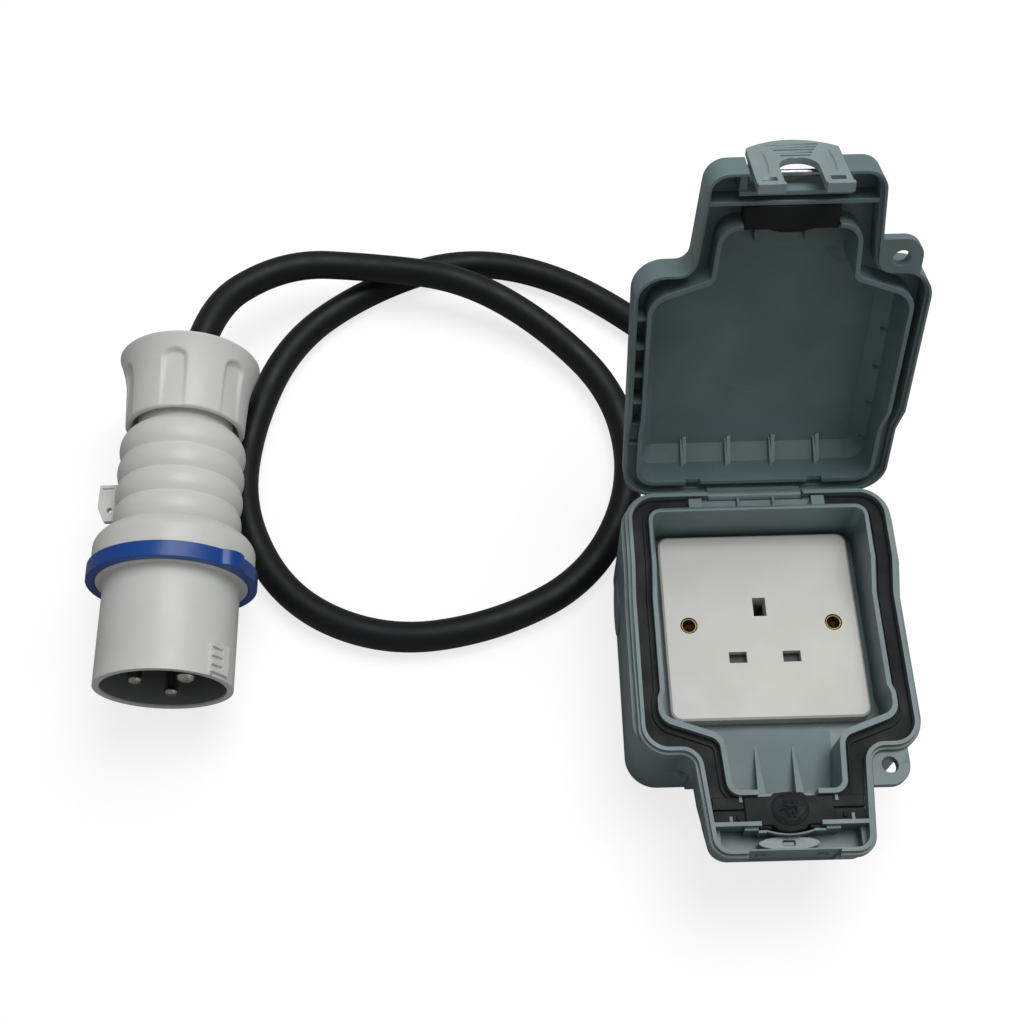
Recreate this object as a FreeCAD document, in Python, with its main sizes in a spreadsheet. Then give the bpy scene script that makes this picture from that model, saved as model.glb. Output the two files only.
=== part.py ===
import FreeCAD, Part
import math
import os
import re
import Sketcher

# Weatherproof single socket outlet on a short rubber cable with a three-pin industrial plug.
# The enclosure stands on its back; the origin is the centre of that back face, under the
# middle of the socket plate. X runs to the right, Y towards the lid hinge and Z up.

Vector = FreeCAD.Vector
Rotation = FreeCAD.Rotation
Placement = FreeCAD.Placement

SIZES = [
    # Outer rim of the enclosure, seen from the front
    ("ledge_half", 55.5, "half width of the rim ledge"),
    ("hinge_end", 53.0, "ledge edge on the hinge side"),
    ("shoulder", 58.5, "ledge edge beside the neck"),
    ("shoulder_width", 20.8, "ledge edge to the neck where it leaves the shoulder"),
    ("neck_taper", 3.6, "how much narrower the neck is at its end"),
    ("neck_end", 98.7, "end of the neck"),
    ("hinge_corner", 13.0, "corner radius on the hinge side"),
    ("shoulder_corner", 12.0, "corner radius of the shoulder"),
    ("neck_fillet", 5.5, "inside radius between shoulder and neck"),
    ("neck_corner", 8.0, "corner radius at the neck end"),
    # Inner rim round the socket well
    ("rim_band", 11.5, "rim ledge edge to the well wall, at the sides"),
    ("rim_band_hinge", 10.0, "rim ledge edge to the well wall, on the hinge side"),
    ("kink_start", 32.5, "where the well wall steps out"),
    ("kink_end", 35.7, "end of that step"),
    ("kink", 1.2, "how far the well wall steps out"),
    ("well_shoulder", 43.2, "well corner beside the neck"),
    ("well_neck_top", 51.4, "where the well narrows into the neck"),
    ("well_neck_half", 22.5, "half width of the well in the neck"),
    ("well_neck_end_half", 21.0, "half width of the well at its neck end"),
    ("well_to_neck_end", 25.3, "neck end to the end of the well"),
    ("well_corner", 3.5, "corner radius of the well"),
    ("shoulder_ease", 2.0, "shoulder corner of that outline, more than its other corners"),
    ("well_fillet", 7.0, "inside radius where the well narrows"),
    ("rim_wall", 1.9, "thickness of the inner rim"),
    # Heights above the back face
    ("seam_height", 28.0, "joint between back box and front frame"),
    ("ledge_height", 54.0, "rim ledge on the neck side"),
    ("ramp_rise", 6.4, "how much higher the rim is on the hinge side"),
    ("ramp_start", 7.0, "start of the ramp"),
    ("ramp_end", 20.0, "end of the ramp"),
    ("lip_rise", 2.0, "lip and inner rim above the ledge"),
    ("lip_setback", 1.3, "ledge left outside the lip"),
    ("lip_inside", 2.8, "ledge edge to the inside of the lip"),
    ("channel_drop", 3.0, "ledge to the floor of the gasket channel"),
    ("channel_web", 2.5, "thickness of the channel floor"),
    ("flange_depth", 4.0, "height of the ledge flange"),
    ("wall_proud", 1.5, "frame wall beyond the rim ledge"),
    ("frame_wall", 2.5, "frame wall thickness"),
    ("floor_height", 35.0, "floor of the well, where the plate rests"),
    ("floor_web", 2.5, "thickness of the well floor"),
    ("neck_floor_high", 39.0, "neck floor at the well"),
    ("neck_floor_low", 34.0, "neck floor at the neck end"),
    ("neck_floor_start", 45.0, "where the neck floor begins"),
    # Underside of the neck
    ("underside_start", 58.0, "where the underside of the neck begins to rise"),
    ("underside_low", 20.0, "height of the underside there"),
    ("neck_depth", 12.5, "depth of the neck at its end"),
    # Back box
    ("box_setback_hinge", 1.0, "back box in from the ledge on the hinge side"),
    ("box_setback_front", 1.5, "back box in from the shoulder"),
    ("box_corner", 13.0, "corner radius of the back box"),
    ("box_wall", 2.5, "wall of the back box"),
    ("box_floor", 3.0, "floor of the back box"),
    ("box_neck_inset", 1.7, "box narrower than the neck above it"),
    ("box_neck_end", 72.0, "end of the box under the neck"),
    ("entry_pad_radius", 12.0, "blank cable entry pad on each side wall"),
    ("entry_pad_rise", 0.8, "how far the pad stands proud"),
    ("entry_pad_y", 20.0, "place of the pad along the side"),
    ("fixing_x", 42.0, "wall fixing holes, half spacing"),
    ("fixing_y", 33.0, "wall fixing holes, half spacing"),
    ("fixing_hole", 2.25, "radius of a wall fixing hole"),
    # Screws that hold the front frame to the back box
    ("post_inset", 6.0, "frame screw, in from the edge of the rim ledge"),
    ("post_hinge_inset", 11.0, "frame screw in from the hinge side"),
    ("post_neck_inset", 13.5, "frame screw in from the shoulder"),
    ("post_radius", 4.2, "screw post"),
    ("screw_radius", 1.9, "frame screw shank"),
    ("screw_head_radius", 3.2, "frame screw head"),
    ("screw_head", 2.4, "frame screw head height"),
    ("screw_sink", 0.8, "head below the back face"),
    ("screw_reach", 14.0, "frame screw reach into the frame"),
    ("screw_clearance", 0.2, "round the shank in the back box"),
    ("screw_fit", 0.1, "round a screw in its threaded hole"),
    # Ear for a padlock, on frame and lid
    ("ear_inset", 14.1, "padlock hole, in from the edge of the rim ledge"),
    ("ear_beyond", 5.3, "padlock hole, beyond the shoulder"),
    ("ear_radius", 7.9, "ear round the padlock hole"),
    ("ear_hole", 3.25, "radius of the padlock hole"),
    ("ear_thickness", 4.0, "ear thickness"),
    ("ear_drop", 2.0, "top of the frame's ear below the ledge"),
    # Neck of the frame: grommet bay, cross wall, latch notch
    ("cross_wall_inset", 13.2, "cross wall in from the neck end"),
    ("cross_wall", 1.6, "cross wall thickness"),
    ("front_bay_depth", 9.0, "depth of the bay behind the cross wall"),
    ("bay_end_inset", 3.3, "end of that bay, in from the neck end"),
    ("bay_side_inset", 4.3, "side of that bay, in from the neck side"),
    ("cord_notch_half", 11.5, "half width of the notch for a cord"),
    ("cord_notch_depth", 4.0, "depth of the cord notch below the ledge"),
    ("notch_half", 17.3, "half width of the latch notch"),
    ("notch_depth", 2.2, "depth of the latch notch"),
    ("notch_drop", 13.0, "bottom of the latch notch below the ledge"),
    ("catch_x", 11.75, "latch catch, from the middle"),
    ("catch_half", 1.9, "half width of a catch"),
    ("catch_drop", 7.1, "bottom of a catch below the ledge"),
    ("catch_height", 2.2, "height of a catch"),
    ("catch_nose", 0.8, "how far a catch stands out"),
    ("neck_rib_x", 7.5, "stiffening rib in the neck, from the middle"),
    ("rib", 1.5, "rib thickness"),
    ("neck_rib_narrow", 0.9, "neck rib at the well"),
    ("neck_rib_wide", 3.2, "neck rib at the neck end"),
    ("floor_opening_gap", 0.6, "frame floor clear of the socket moulding"),
    ("block_in", 23.0, "hinge side block, inner edge"),
    ("block_out", 28.5, "hinge side block, outer edge"),
    ("block_depth", 4.4, "hinge side block along Y"),
    ("hinge_shelf_drop", 1.8, "shelf between those blocks below the ledge"),
    ("hinge_shelf_rib", 1.2, "thickness of the two ribs on the shelf"),
    ("hinge_rib_x", 7.4, "those ribs, from the middle"),
    # Gasket and seals
    ("gasket_gap", 0.3, "gasket clear of the channel walls"),
    ("gasket_base", 1.7, "gasket thickness"),
    ("gasket_ridge", 0.8, "height of its raised lines"),
    ("gasket_ridge_width", 1.0, "width of a raised line"),
    ("seal_half", 17.0, "half width of the cord seal"),
    ("seal_flange_inset", 2.3, "side flanges, in from the neck end"),
    ("seal_flange", 1.7, "thickness of those flanges"),
    ("seal_gap", 0.4, "cord seal clear of its bay"),
    ("seal_rise", 0.3, "top of the lower cord seal above the ledge"),
    ("seal_boss_half", 8.0, "half width of the boss on the seal"),
    ("seal_boss_rise", 1.2, "boss above the seal"),
    ("lid_seal_reach", 0.6, "upper seal beyond the dome wall"),
    ("dimple_radius", 3.0, "dimple in the boss"),
    ("dimple_depth", 2.0, "depth of the dimple"),
    # Lid
    ("seat_gap", 0.3, "closed lid above the ledge, and round the lip"),
    ("lid_wall", 2.0, "outer wall of the lid"),
    ("skirt_height", 13.2, "lid skirt above the ledge"),
    ("lid_rib_first", 38.5, "first rib between the lid walls, before the middle"),
    ("lid_rib_count", 6.0, "ribs between the lid walls"),
    ("lid_roof", 2.4, "roof of the skirt and of the dome"),
    ("dome_gap", 4.9, "dome wall outside the widest part of the well wall"),
    ("dome_wall", 1.8, "dome wall thickness"),
    ("dome_clear", 0.6, "dome wall above the ledge"),
    ("dome_height", 28.4, "top of the dome above the ledge"),
    ("dome_chamfer", 7.0, "chamfer round the dome"),
    ("room_chamfer", 5.8, "chamfer inside the dome"),
    ("neck_dome_step", 4.0, "dome lower over the neck"),
    ("neck_dome_start", 57.0, "where the dome steps down towards the neck"),
    ("lid_rib_pitch", 13.0, "spacing of the ribs between the lid walls"),
    ("gusset_pitch", 19.0, "spacing of the four gussets in the lid"),
    ("gusset_shift", 0.5, "gussets to the left of the middle"),
    ("gusset_length", 9.0, "gusset along the dome floor"),
    ("gusset_height", 8.0, "gusset up the dome wall"),
    ("gusset_root", 0.8, "how far a gusset reaches into the wall"),
    ("gusset_toe", 2.0, "foot of a gusset under its slope"),
    ("hinge_setback", 1.0, "lid hinge axis in from the hinge side"),
    ("hinge_rise", 3.5, "lid hinge axis above the ledge"),
    ("knuckle_radius", 2.4, "hinge knuckle"),
    ("hinge_pin_radius", 1.2, "hinge pin"),
    ("hinge_pin_inside", 12.0, "hinge pin inside the lid knuckle"),
    ("hinge_pin_short", 0.5, "hinge pin short of the end of its knuckle"),
    ("hinge_web", 1.4, "half thickness of the web that carries a lid knuckle"),
    ("hinge_pin_gap", 0.05, "hinge pin in its bore"),
    ("knuckle_gap", 0.4, "room round a hinge knuckle"),
    ("lid_knuckle", 19.6, "half length of the lid knuckle"),
    ("frame_knuckle", 7.0, "length of a frame knuckle"),
    ("lid_open_angle", 111.5, "how far the lid stands open"),
    # Latch
    ("latch_half", 16.5, "half width of the latch"),
    ("latch_thickness", 2.5, "latch thickness"),
    ("latch_gap", 1.0, "latch clear of the notch wall"),
    ("latch_back_wall", 1.6, "lid wall behind the latch"),
    ("latch_reach", 20.0, "latch below its pivot"),
    ("grip_drop", 3.8, "highest grip groove below the top"),
    ("latch_rise", 15.0, "latch above its pivot"),
    ("latch_arch", 26.0, "radius of the latch arch"),
    ("fork_round", 6.5, "radius at the top of that gap"),
    ("latch_leg", 9.5, "width of a leg"),
    ("fork_rise", 1.2, "top of the gap between the legs above the pivot"),
    ("latch_window_half", 2.6, "half width of the window for a catch"),
    ("window_gap", 0.3, "window round a catch, up and down"),
    ("latch_foot", 1.0, "lip at the end of a leg"),
    ("latch_foot_height", 2.0, "height of that lip"),
    ("latch_pivot_inset", 3.9, "latch pivot in from the neck end"),
    ("latch_pivot_rise", 8.0, "latch pivot above the ledge"),
    ("latch_arm", 2.5, "thickness of a latch arm"),
    ("latch_knuckle", 2.9, "radius of a latch arm round its pin"),
    ("latch_pin_radius", 1.3, "latch pin"),
    ("cheek", 2.6, "lid cheek that carries the latch pin"),
    ("cheek_depth", 8.4, "cheek along Y"),
    ("cheek_inset", 0.7, "cheek in from the neck end"),
    ("grip_count", 5.0, "grip grooves on the latch"),
    ("grip_pitch", 2.1, "spacing of the grip grooves"),
    ("grip_width", 1.0, "width of a grip groove"),
    ("grip_half", 9.4, "half length of the highest groove"),
    ("grip_step", 1.0, "how much shorter each next one is"),
    ("grip_depth", 0.5, "depth of a grip groove"),
    # Window piece that the latch closes over
    ("keeper_half", 10.2, "half length of the keeper"),
    ("keeper_width", 3.0, "half width of the keeper"),
    ("keeper_gap", 0.15, "keeper clear of the end of its bay"),
    ("keeper_slot_depth", 3.0, "depth of its slot"),
    ("keeper_drop", 2.0, "top of the keeper below the ledge"),
    ("keeper_slot_half", 2.75, "half length of its slot"),
    ("keeper_slot_width", 0.85, "half width of its slot"),
    # Socket plate
    ("plate_margin", 3.56, "plate edge to the well wall"),
    ("plate_margin_hinge", 2.0, "plate edge to the well wall, on the hinge side"),
    ("plate_depth", 7.0, "depth of the plate edge"),
    ("plate_skin", 3.0, "thickness of the plate face"),
    ("plate_edge", 2.5, "thickness of the plate edge"),
    ("plate_corner", 4.5, "corner radius of the plate"),
    ("plate_bevel", 0.8, "bevel round the face"),
    ("pin_spacing", 11.1, "line and neutral slot from the middle"),
    ("earth_y", 7.6, "earth slot"),
    ("line_y", 14.6, "line and neutral slots below the middle"),
    ("slot_half_width", 3.7, "line slot half width"),
    ("slot_half_height", 2.4, "line slot half height"),
    ("earth_half_width", 2.7, "earth slot half width"),
    ("earth_half_height", 4.15, "earth slot half height"),
    ("plate_screw_x", 30.15, "plate screw from the middle"),
    ("plate_recess", 3.6, "recess radius round a plate screw"),
    ("plate_recess_depth", 1.6, "depth of that recess"),
    ("plate_screw_head", 3.4, "plate screw head radius"),
    ("plate_screw_shank", 1.7, "plate screw shank radius"),
    ("plate_screw_tip", 24.0, "height of the plate screw's tip"),
    ("plate_boss", 4.2, "frame boss for a plate screw"),
    ("plate_boss_low", 22.5, "bottom of that boss"),
    ("screw_socket", 1.6, "slot in the head of a frame screw"),
    ("plate_screw_socket", 2.5, "recess in the head of a plate screw"),
    ("plate_screw_sunk", 0.2, "plate screw head below the face"),
    ("plate_screw_web", 0.4, "left under that recess"),
    # Socket moulding and what it holds
    ("moulding_half", 24.0, "half width of the socket moulding"),
    ("moulding_high_y", 21.0, "moulding edge on the hinge side"),
    ("moulding_low_y", 27.0, "moulding edge on the neck side"),
    ("moulding_depth", 22.0, "depth of the moulding"),
    ("cover_thickness", 2.0, "rear cover of the moulding"),
    ("contact_room", 0.5, "room round a contact"),
    ("contact_leaf", 0.9, "thickness of a contact leaf"),
    ("contact_grip", 0.4, "how far a leaf reaches into its slot"),
    ("contact_height", 13.0, "height of a contact"),
    ("contact_base", 2.0, "thickness of a contact's base"),
    ("contact_stem", 2.4, "radius of the stem through the cover"),
    ("terminal_half", 3.5, "half width of a terminal block"),
    ("terminal_low", 7.5, "bottom of the terminals"),
    ("terminal_hole", 2.2, "depth of a terminal screw hole"),
    ("terminal_screw_end", 2.0, "terminal screw inside the block"),
    ("terminal_screw_low", 2.6, "bottom of the screw head below the block"),
    ("terminal_screw_high", 0.6, "top of the screw head below the block"),
    ("core_height", 11.0, "height of the cores at the terminals"),
    ("core_radius", 1.6, "insulated core"),
    ("shutter_thickness", 1.9, "shutter plate"),
    ("shutter_below", 0.8, "shutter below the plate's inner face"),
    ("shutter_half", 15.8, "half width of the shutter"),
    ("shutter_margin", 1.0, "shutter beyond a slot"),
    ("shutter_travel", 6.4, "how far the shutter slides"),
    ("shutter_gap", 0.3, "shutter clear of the moulding"),
    ("shutter_tongue", 2.4, "half width of the shutter's tongue"),
    ("terminal_screw_radius", 1.5, "terminal screw shank"),
    ("terminal_screw_head", 2.4, "terminal screw head radius"),
    # Cable and its gland in the back box
    ("cable_radius", 6.9, "rubber sheathed cable"),
    ("gland_z", 16.0, "height of the gland"),
    ("thread_radius", 9.95, "gland thread"),
    ("thread_gap", 0.15, "gland thread in its hole and nuts"),
    ("gland_bore", 8.0, "bore of the gland body"),
    ("gland_inner_end", 8.0, "gland body inside the wall face"),
    ("gland_flats", 11.7, "half width across the gland's flats"),
    ("gland_hex", 5.5, "thickness of the gland's hexagon"),
    ("gland_spigot", 8.5, "spigot beyond the hexagon"),
    ("gland_cap", 18.5, "length of the gland cap"),
    ("gland_cap_radius", 12.2, "gland cap"),
    ("gland_cap_nose", 10.4, "gland cap at its outer end"),
    ("gland_mouth_gap", 0.5, "gland cap round the cable"),
    ("locknut_flats", 11.8, "half width across the locknut's flats"),
    ("locknut_depth", 4.0, "locknut thickness"),
    ("gland_seal_start", 3.0, "seal from the outer wall face"),
    ("gland_seal_length", 12.0, "length of the seal"),
    ("seal_radial_gap", 0.1, "seal in the gland bore"),
    ("seal_grip", 0.1, "how far a seal bites into the cable"),
    # Industrial plug, measured along its own axis from the front of its ring
    ("plug_x", -249.7, "middle of the ring"),
    ("plug_y", 26.0, "middle of the ring"),
    ("plug_lift", 0.15, "ring above the table"),
    ("plug_yaw", 0.31, "plug axis turned from Y"),
    ("plug_tilt", 2.21, "plug axis tilted mouth down"),
    ("shroud_radius", 28.67, "shroud outside"),
    ("shroud_wall", 2.8, "shroud wall"),
    ("shroud_length", 45.4, "shroud in front of the ring"),
    ("collar_radius", 34.5, "collar behind the ring"),
    ("collar_end", 15.0, "where the collar begins to narrow"),
    ("shoulder_end", 22.8, "where the collar meets the ribbed body"),
    ("shoulder_radius", 28.6, "body radius at that end"),
    ("ring_radius", 35.98, "coloured ring"),
    ("ring_width", 7.0, "coloured ring along the axis"),
    ("ring_face", 3.8, "coloured ring, radial width"),
    ("ring_gap", 0.2, "ring round its seat"),
    ("ring_bump_angle", 32.3, "place of the bump on the ring"),
    ("ring_bump", 8.0, "radius of the bump"),
    ("bump_rise", 2.6, "bump beyond the ring"),
    ("carrier_face", 4.0, "front of the pin carrier"),
    ("carrier_depth", 22.0, "depth of the pin carrier"),
    ("carrier_screw", 5.0, "terminal screws behind the carrier"),
    ("carrier_gap", 0.3, "carrier in the shroud"),
    ("pin_circle", 12.2, "circle of the pins"),
    ("pin_radius", 3.0, "line and neutral pin"),
    ("earth_pin_radius", 4.0, "earth pin"),
    ("pin_tip", 44.2, "tip of the pins"),
    ("pin_tail", 31.0, "back end of the pins"),
    ("pin_fit", 0.1, "pin in the carrier"),
    ("earth_pin_angle", 30.0, "place of the earth pin"),
    ("key_angle", 27.5, "place of the raised key"),
    ("key_rise", 1.3, "key above the shroud"),
    ("key_half", 4.9, "half width of the key"),
    ("key_start", 31.2, "back end of the key"),
    ("key_end", 43.8, "front end of the key"),
    ("key_slot", 1.7, "slot across the key"),
    ("key_slot_first", 2.9, "first slot from the back end"),
    ("key_slot_pitch", 3.7, "spacing of the three slots"),
    ("key_slot_reach", 6.0, "length of a slot from its open side"),
    ("key_slot_floor", 0.2, "left of the key under a slot"),
    ("rib_first", 29.3, "first rib behind the ring"),
    ("rib_pitch", 11.3, "spacing of the ribs"),
    ("rib_crest", 27.6, "radius at a rib's crest"),
    ("rib_round", 11.0, "radius of a rib's round"),
    ("body_wall", 2.4, "wall of the plug body"),
    ("body_trough", 25.2, "plug body between ribs"),
    ("body_neck_radius", 21.0, "threaded neck under the nut"),
    ("body_neck_start", 69.0, "where the threaded neck begins"),
    ("body_neck_end", 92.0, "end of the threaded neck"),
    ("neck_lead", 3.0, "length over which the body narrows to its neck"),
    ("tab_reach", 35.6, "strap tab, from the axis"),
    ("tab_back", 49.4, "back end of the strap tab"),
    ("tab_front", 31.6, "front end of the strap tab"),
    ("tab_slope", 6.9, "its sloping front corner along the axis"),
    ("tab_corner", 3.1, "that corner across the axis"),
    ("tab_recess", 0.8, "recess in the faces of the tab"),
    ("tab_hole", 1.2, "hole for the strap"),
    ("tab_half", 1.6, "half thickness of the strap tab"),
    ("tab_bar", 1.5, "rim round the recess in the tab"),
    ("nut_start", 75.2, "front edge of the cable nut"),
    ("nut_end", 110.7, "back edge of the cable nut"),
    ("nut_radius", 26.6, "cable nut at its front edge"),
    ("nut_grip", 12.0, "length over which the nut stays nearly straight"),
    ("nut_draft", 0.2, "how much wider it is at the end of that"),
    ("nut_waist", 28.4, "cable nut where it begins to flare"),
    ("nut_waist_at", 99.0, "where the nut begins to flare"),
    ("nut_flare", 31.4, "cable nut at its back edge"),
    ("nut_gap", 0.3, "cable nut round the neck"),
    ("nut_web", 3.0, "back wall of the cable nut"),
    ("nut_throat", 23.6, "wide mouth of the nut over the neck"),
    ("nut_throat_end", 84.0, "back end of that mouth"),
    ("nut_mouth_gap", 1.4, "cable nut round the cable"),
    ("flute_count", 6.0, "flutes round the nut"),
    ("flute_half", 7.2, "half width of a flute"),
    ("flute_radius", 25.9, "bottom of a flute from the axis"),
    ("flute_end", 104.5, "back end of a flute"),
    ("plug_seal_length", 9.0, "rubber seal round the cable"),
    ("plug_seal_gap", 0.3, "seal clear of the nut"),
    ("clamp_length", 5.0, "cord clamp in front of the seal"),
    ("cord_end", 84.0, "end of the cable's sheath in the plug"),
    ("cord_bend", 53.5, "last bend of the cable behind that end"),
    ("core_lay", 2.9, "cores from the cable axis"),
    ("core_straight", 14.0, "straight start of a core"),
    ("core_slope", 12.0, "length over which a box core drops"),
    ("core_stub", 16.0, "straight end of a core behind its pin"),
]

# Sizes that follow from the driving ones, each a sum or a difference
FOLLOWS = {
    "well_half": "ledge_half - rim_band",
    "well_hinge": "hinge_end - rim_band_hinge",
    "well_end": "neck_end - well_to_neck_end",
    "neck_half": "ledge_half - shoulder_width",
    "neck_end_half": "neck_half - neck_taper",
    "underside_high": "ledge_height - neck_depth",
    "box_half": "ledge_half + wall_proud",
    "box_hinge": "hinge_end - box_setback_hinge",
    "box_front": "shoulder - box_setback_front",
    "post_x": "ledge_half - post_inset",
    "post_hinge_y": "hinge_end - post_hinge_inset",
    "post_neck_y": "shoulder - post_neck_inset",
    "ear_x": "ledge_half - ear_inset",
    "ear_y": "shoulder + ear_beyond",
    "ear_top": "ledge_height - ear_drop",
    "cross_wall_y": "neck_end - cross_wall_inset",
    "front_bay_floor": "ledge_height - front_bay_depth",
    "cord_notch_height": "ledge_height - cord_notch_depth",
    "notch_bottom": "ledge_height - notch_drop",
    "catch_low": "ledge_height - catch_drop",
    "catch_high": "catch_low + catch_height",
    "seal_top": "ledge_height + seal_rise",
    "seal_flange_half": "neck_end_half - seal_flange_inset",
    "keeper_top": "ledge_height - keeper_drop",
    "dome_top": "ledge_height + dome_height",
    "neck_dome_top": "dome_top - neck_dome_step",
    "hinge_y": "hinge_end - hinge_setback",
    "hinge_z": "ledge_height + hinge_rise",
    "latch_pivot_y": "neck_end - latch_pivot_inset",
    "latch_pivot_z": "ledge_height + latch_pivot_rise",
    "latch_bottom": "latch_pivot_z - latch_reach",
    "latch_top": "latch_pivot_z + latch_rise",
    "latch_fork_top": "latch_pivot_z + fork_rise",
    "latch_window_low": "catch_low - window_gap",
    "latch_window_high": "catch_high + window_gap",
    "grip_top": "latch_top - grip_drop",
    "plate_half_x": "well_half - plate_margin",
    "plate_half_y": "well_hinge - plate_margin_hinge",
}

# Route of the cable from the gland to the plug, chosen by hand; its ends are set by
# the gland and the plug.
CABLE_ROUTE = [
    (0, 98, 16), (-6, 141, 7), (-33, 175, 7), (-80, 210, 7), (-129, 220, 7),
    (-177, 200, 7), (-212, 170, 7), (-228.5, 121, 7), (-230, 76, 7), (-206, 31, 7),
    (-161, 9.5, 7), (-112, 15.5, 7), (-68, 38, 7), (-44.5, 84, 7), (-50, 136, 7),
    (-84, 175, 12), (-124, 197, 22), (-168, 205, 22), (-213, 202, 31.5),
]

doc = FreeCAD.newDocument("socket_adapter")
sheet = doc.addObject("Spreadsheet::Sheet", "Sizes")
for row, (alias, value, note) in enumerate(SIZES, 1):
    sheet.set(f"A{row}", note)
    sheet.set(f"B{row}", str(value))
    sheet.setAlias(f"B{row}", alias)
doc.recompute()

pieces = []


def size(alias):
    """Value of one dimension, driving or following."""
    if alias in FOLLOWS:
        return total(FOLLOWS[alias])
    return float(sheet.get(alias))


def total(expression):
    """Number behind a sum or difference of dimensions."""
    result = 0.0
    for sign, term in re.findall(r"([+-]?)\s*([\w.]+)", expression):
        value = size(term) if term[0].isalpha() else float(term)
        result += -value if sign == "-" else value
    return result


def link(expression):
    """Points the plain names in an expression at the spreadsheet's cells."""
    def cell(match):
        name = match.group(0)
        return f"({link(FOLLOWS[name])})" if name in FOLLOWS else f"Sizes.{name}"
    return re.sub(r"\b[a-z]\w*\b(?!\()", cell, expression)


def bind(feature, **properties):
    """Binds properties of a feature to expressions; a dot in a name is written as two underscores."""
    for name, expression in properties.items():
        feature.setExpression(name.replace("__", "."), link(expression))
    return feature


def piece(node, feature, placement=None):
    """Names a finished feature as one physical piece."""
    feature.Label = node
    if placement is not None:
        feature.Placement = placement
    pieces.append(feature)
    return feature


# Sketches: straight outlines whose corners are bound to the spreadsheet

def mirrored(corners):
    """Completes a right-hand outline with its mirror image across the Y axis."""
    return corners + [(f"-({x})", y) for x, y in reversed(corners)]


def draw(sketch, corners):
    """Draws a closed outline through corners given as pairs of expressions."""
    count = len(corners)
    turn = 2 * math.pi / count
    start = [Vector(math.cos(i * turn), math.sin(i * turn), 0) for i in range(count)]
    for i in range(count):
        sketch.addGeometry(Part.LineSegment(start[i], start[(i + 1) % count]))
    for i in range(count):
        sketch.addConstraint(Sketcher.Constraint("Coincident", i, 2, (i + 1) % count, 1))
    for i, corner in enumerate(corners):
        for kind, expression in zip(("DistanceX", "DistanceY"), corner):
            number = sketch.addConstraint(Sketcher.Constraint(kind, -1, 1, i, 1, 1.0))
            sketch.setExpression(f"Constraints[{number}]", link(expression))
    return sketch


# A plane's turn, its normal and the name of the coordinate along that normal
PLANES = {
    "XY": (Rotation(), Vector(0, 0, 1), "z"),
    "XZ": (Rotation(Vector(1, 0, 0), 90), Vector(0, 1, 0), "y"),
    "YZ": (Rotation(Vector(1, 1, 1), 120), Vector(1, 0, 0), "x"),
}


def prism(corners, low, high, plane="XY", radii=None):
    """Extrudes an outline from low to high; radii round its corners, 0 for a sharp one."""
    turn, normal, along = PLANES[plane]
    sketch = doc.addObject("Sketcher::SketchObject", "Outline")
    sketch.Placement = Placement(Vector(), turn)
    sketch.setExpression(f"Placement.Base.{along}", link(low))
    draw(sketch, corners)
    solid = doc.addObject("Part::Extrusion", "Prism")
    solid.Base = sketch
    solid.DirMode = "Custom"
    solid.Dir = normal
    solid.Solid = True
    bind(solid, LengthFwd=f"({high}) - ({low})")
    if not radii:
        return solid
    doc.recompute()
    spots = [sketch.Placement.multVec(line.StartPoint) for line in sketch.Geometry]
    edges = []
    for number, edge in enumerate(solid.Shape.Edges, 1):
        direction = edge.tangentAt(edge.FirstParameter)
        if abs(direction.dot(normal)) < 0.99:
            continue
        foot = edge.Vertexes[0].Point
        for spot, radius in zip(spots, radii):
            offset = foot - spot
            across = offset - normal * offset.dot(normal)
            if radius > 0 and across.Length < 1e-4:
                edges.append((number, radius, radius))
    rounded = doc.addObject("Part::Fillet", "Rounded")
    rounded.Base = solid
    rounded.Edges = edges
    return rounded


def block(x, y, z):
    """Box between three pairs of expressions."""
    box = doc.addObject("Part::Box", "Block")
    bind(box, Length=f"({x[1]}) - ({x[0]})", Width=f"({y[1]}) - ({y[0]})", Height=f"({z[1]}) - ({z[0]})")
    return bind(box, Placement__Base__x=x[0], Placement__Base__y=y[0], Placement__Base__z=z[0])


TURNS = {
    "X": (Rotation(Vector(0, 1, 0), 90), ("y", "z", "x")),
    "Y": (Rotation(Vector(1, 0, 0), -90), ("x", "z", "y")),
    "Z": (Rotation(), ("x", "y", "z")),
}


def rod(radius, low, high, centre=("0", "0"), axis="Z"):
    """Cylinder along an axis from low to high, centred in the other two coordinates."""
    turn, names = TURNS[axis]
    cylinder = doc.addObject("Part::Cylinder", "Rod")
    bind(cylinder, Radius=radius, Height=f"({high}) - ({low})")
    cylinder.Placement = Placement(Vector(), turn)
    for name, expression in zip(names, (*centre, low)):
        cylinder.setExpression(f"Placement.Base.{name}", link(expression))
    return cylinder


def join(*features):
    """Fuses features into one."""
    if len(features) == 1:
        return features[0]
    fusion = doc.addObject("Part::MultiFuse", "Join")
    fusion.Shapes = list(features)
    return fusion


def cut(base, *tools):
    """Takes tools away from a base."""
    result = doc.addObject("Part::Cut", "Cut")
    result.Base = base
    result.Tool = join(*tools)
    return result


def common(first, second):
    """Keeps what two features share."""
    result = doc.addObject("Part::MultiCommon", "Common")
    result.Shapes = [first, second]
    return result


def group(*features):
    """Keeps several loose solids together."""
    result = doc.addObject("Part::Compound", "Group")
    result.Links = list(features)
    return result


def sides(make):
    """Calls make for the right and the left side."""
    return [make(""), make("-")]


# PartDesign bodies for pieces that are padded, pocketed or turned

def new_body(node, placement=None):
    """Empty body under a node's name."""
    body = doc.addObject("PartDesign::Body", node)
    return piece(node, body, placement)


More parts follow.
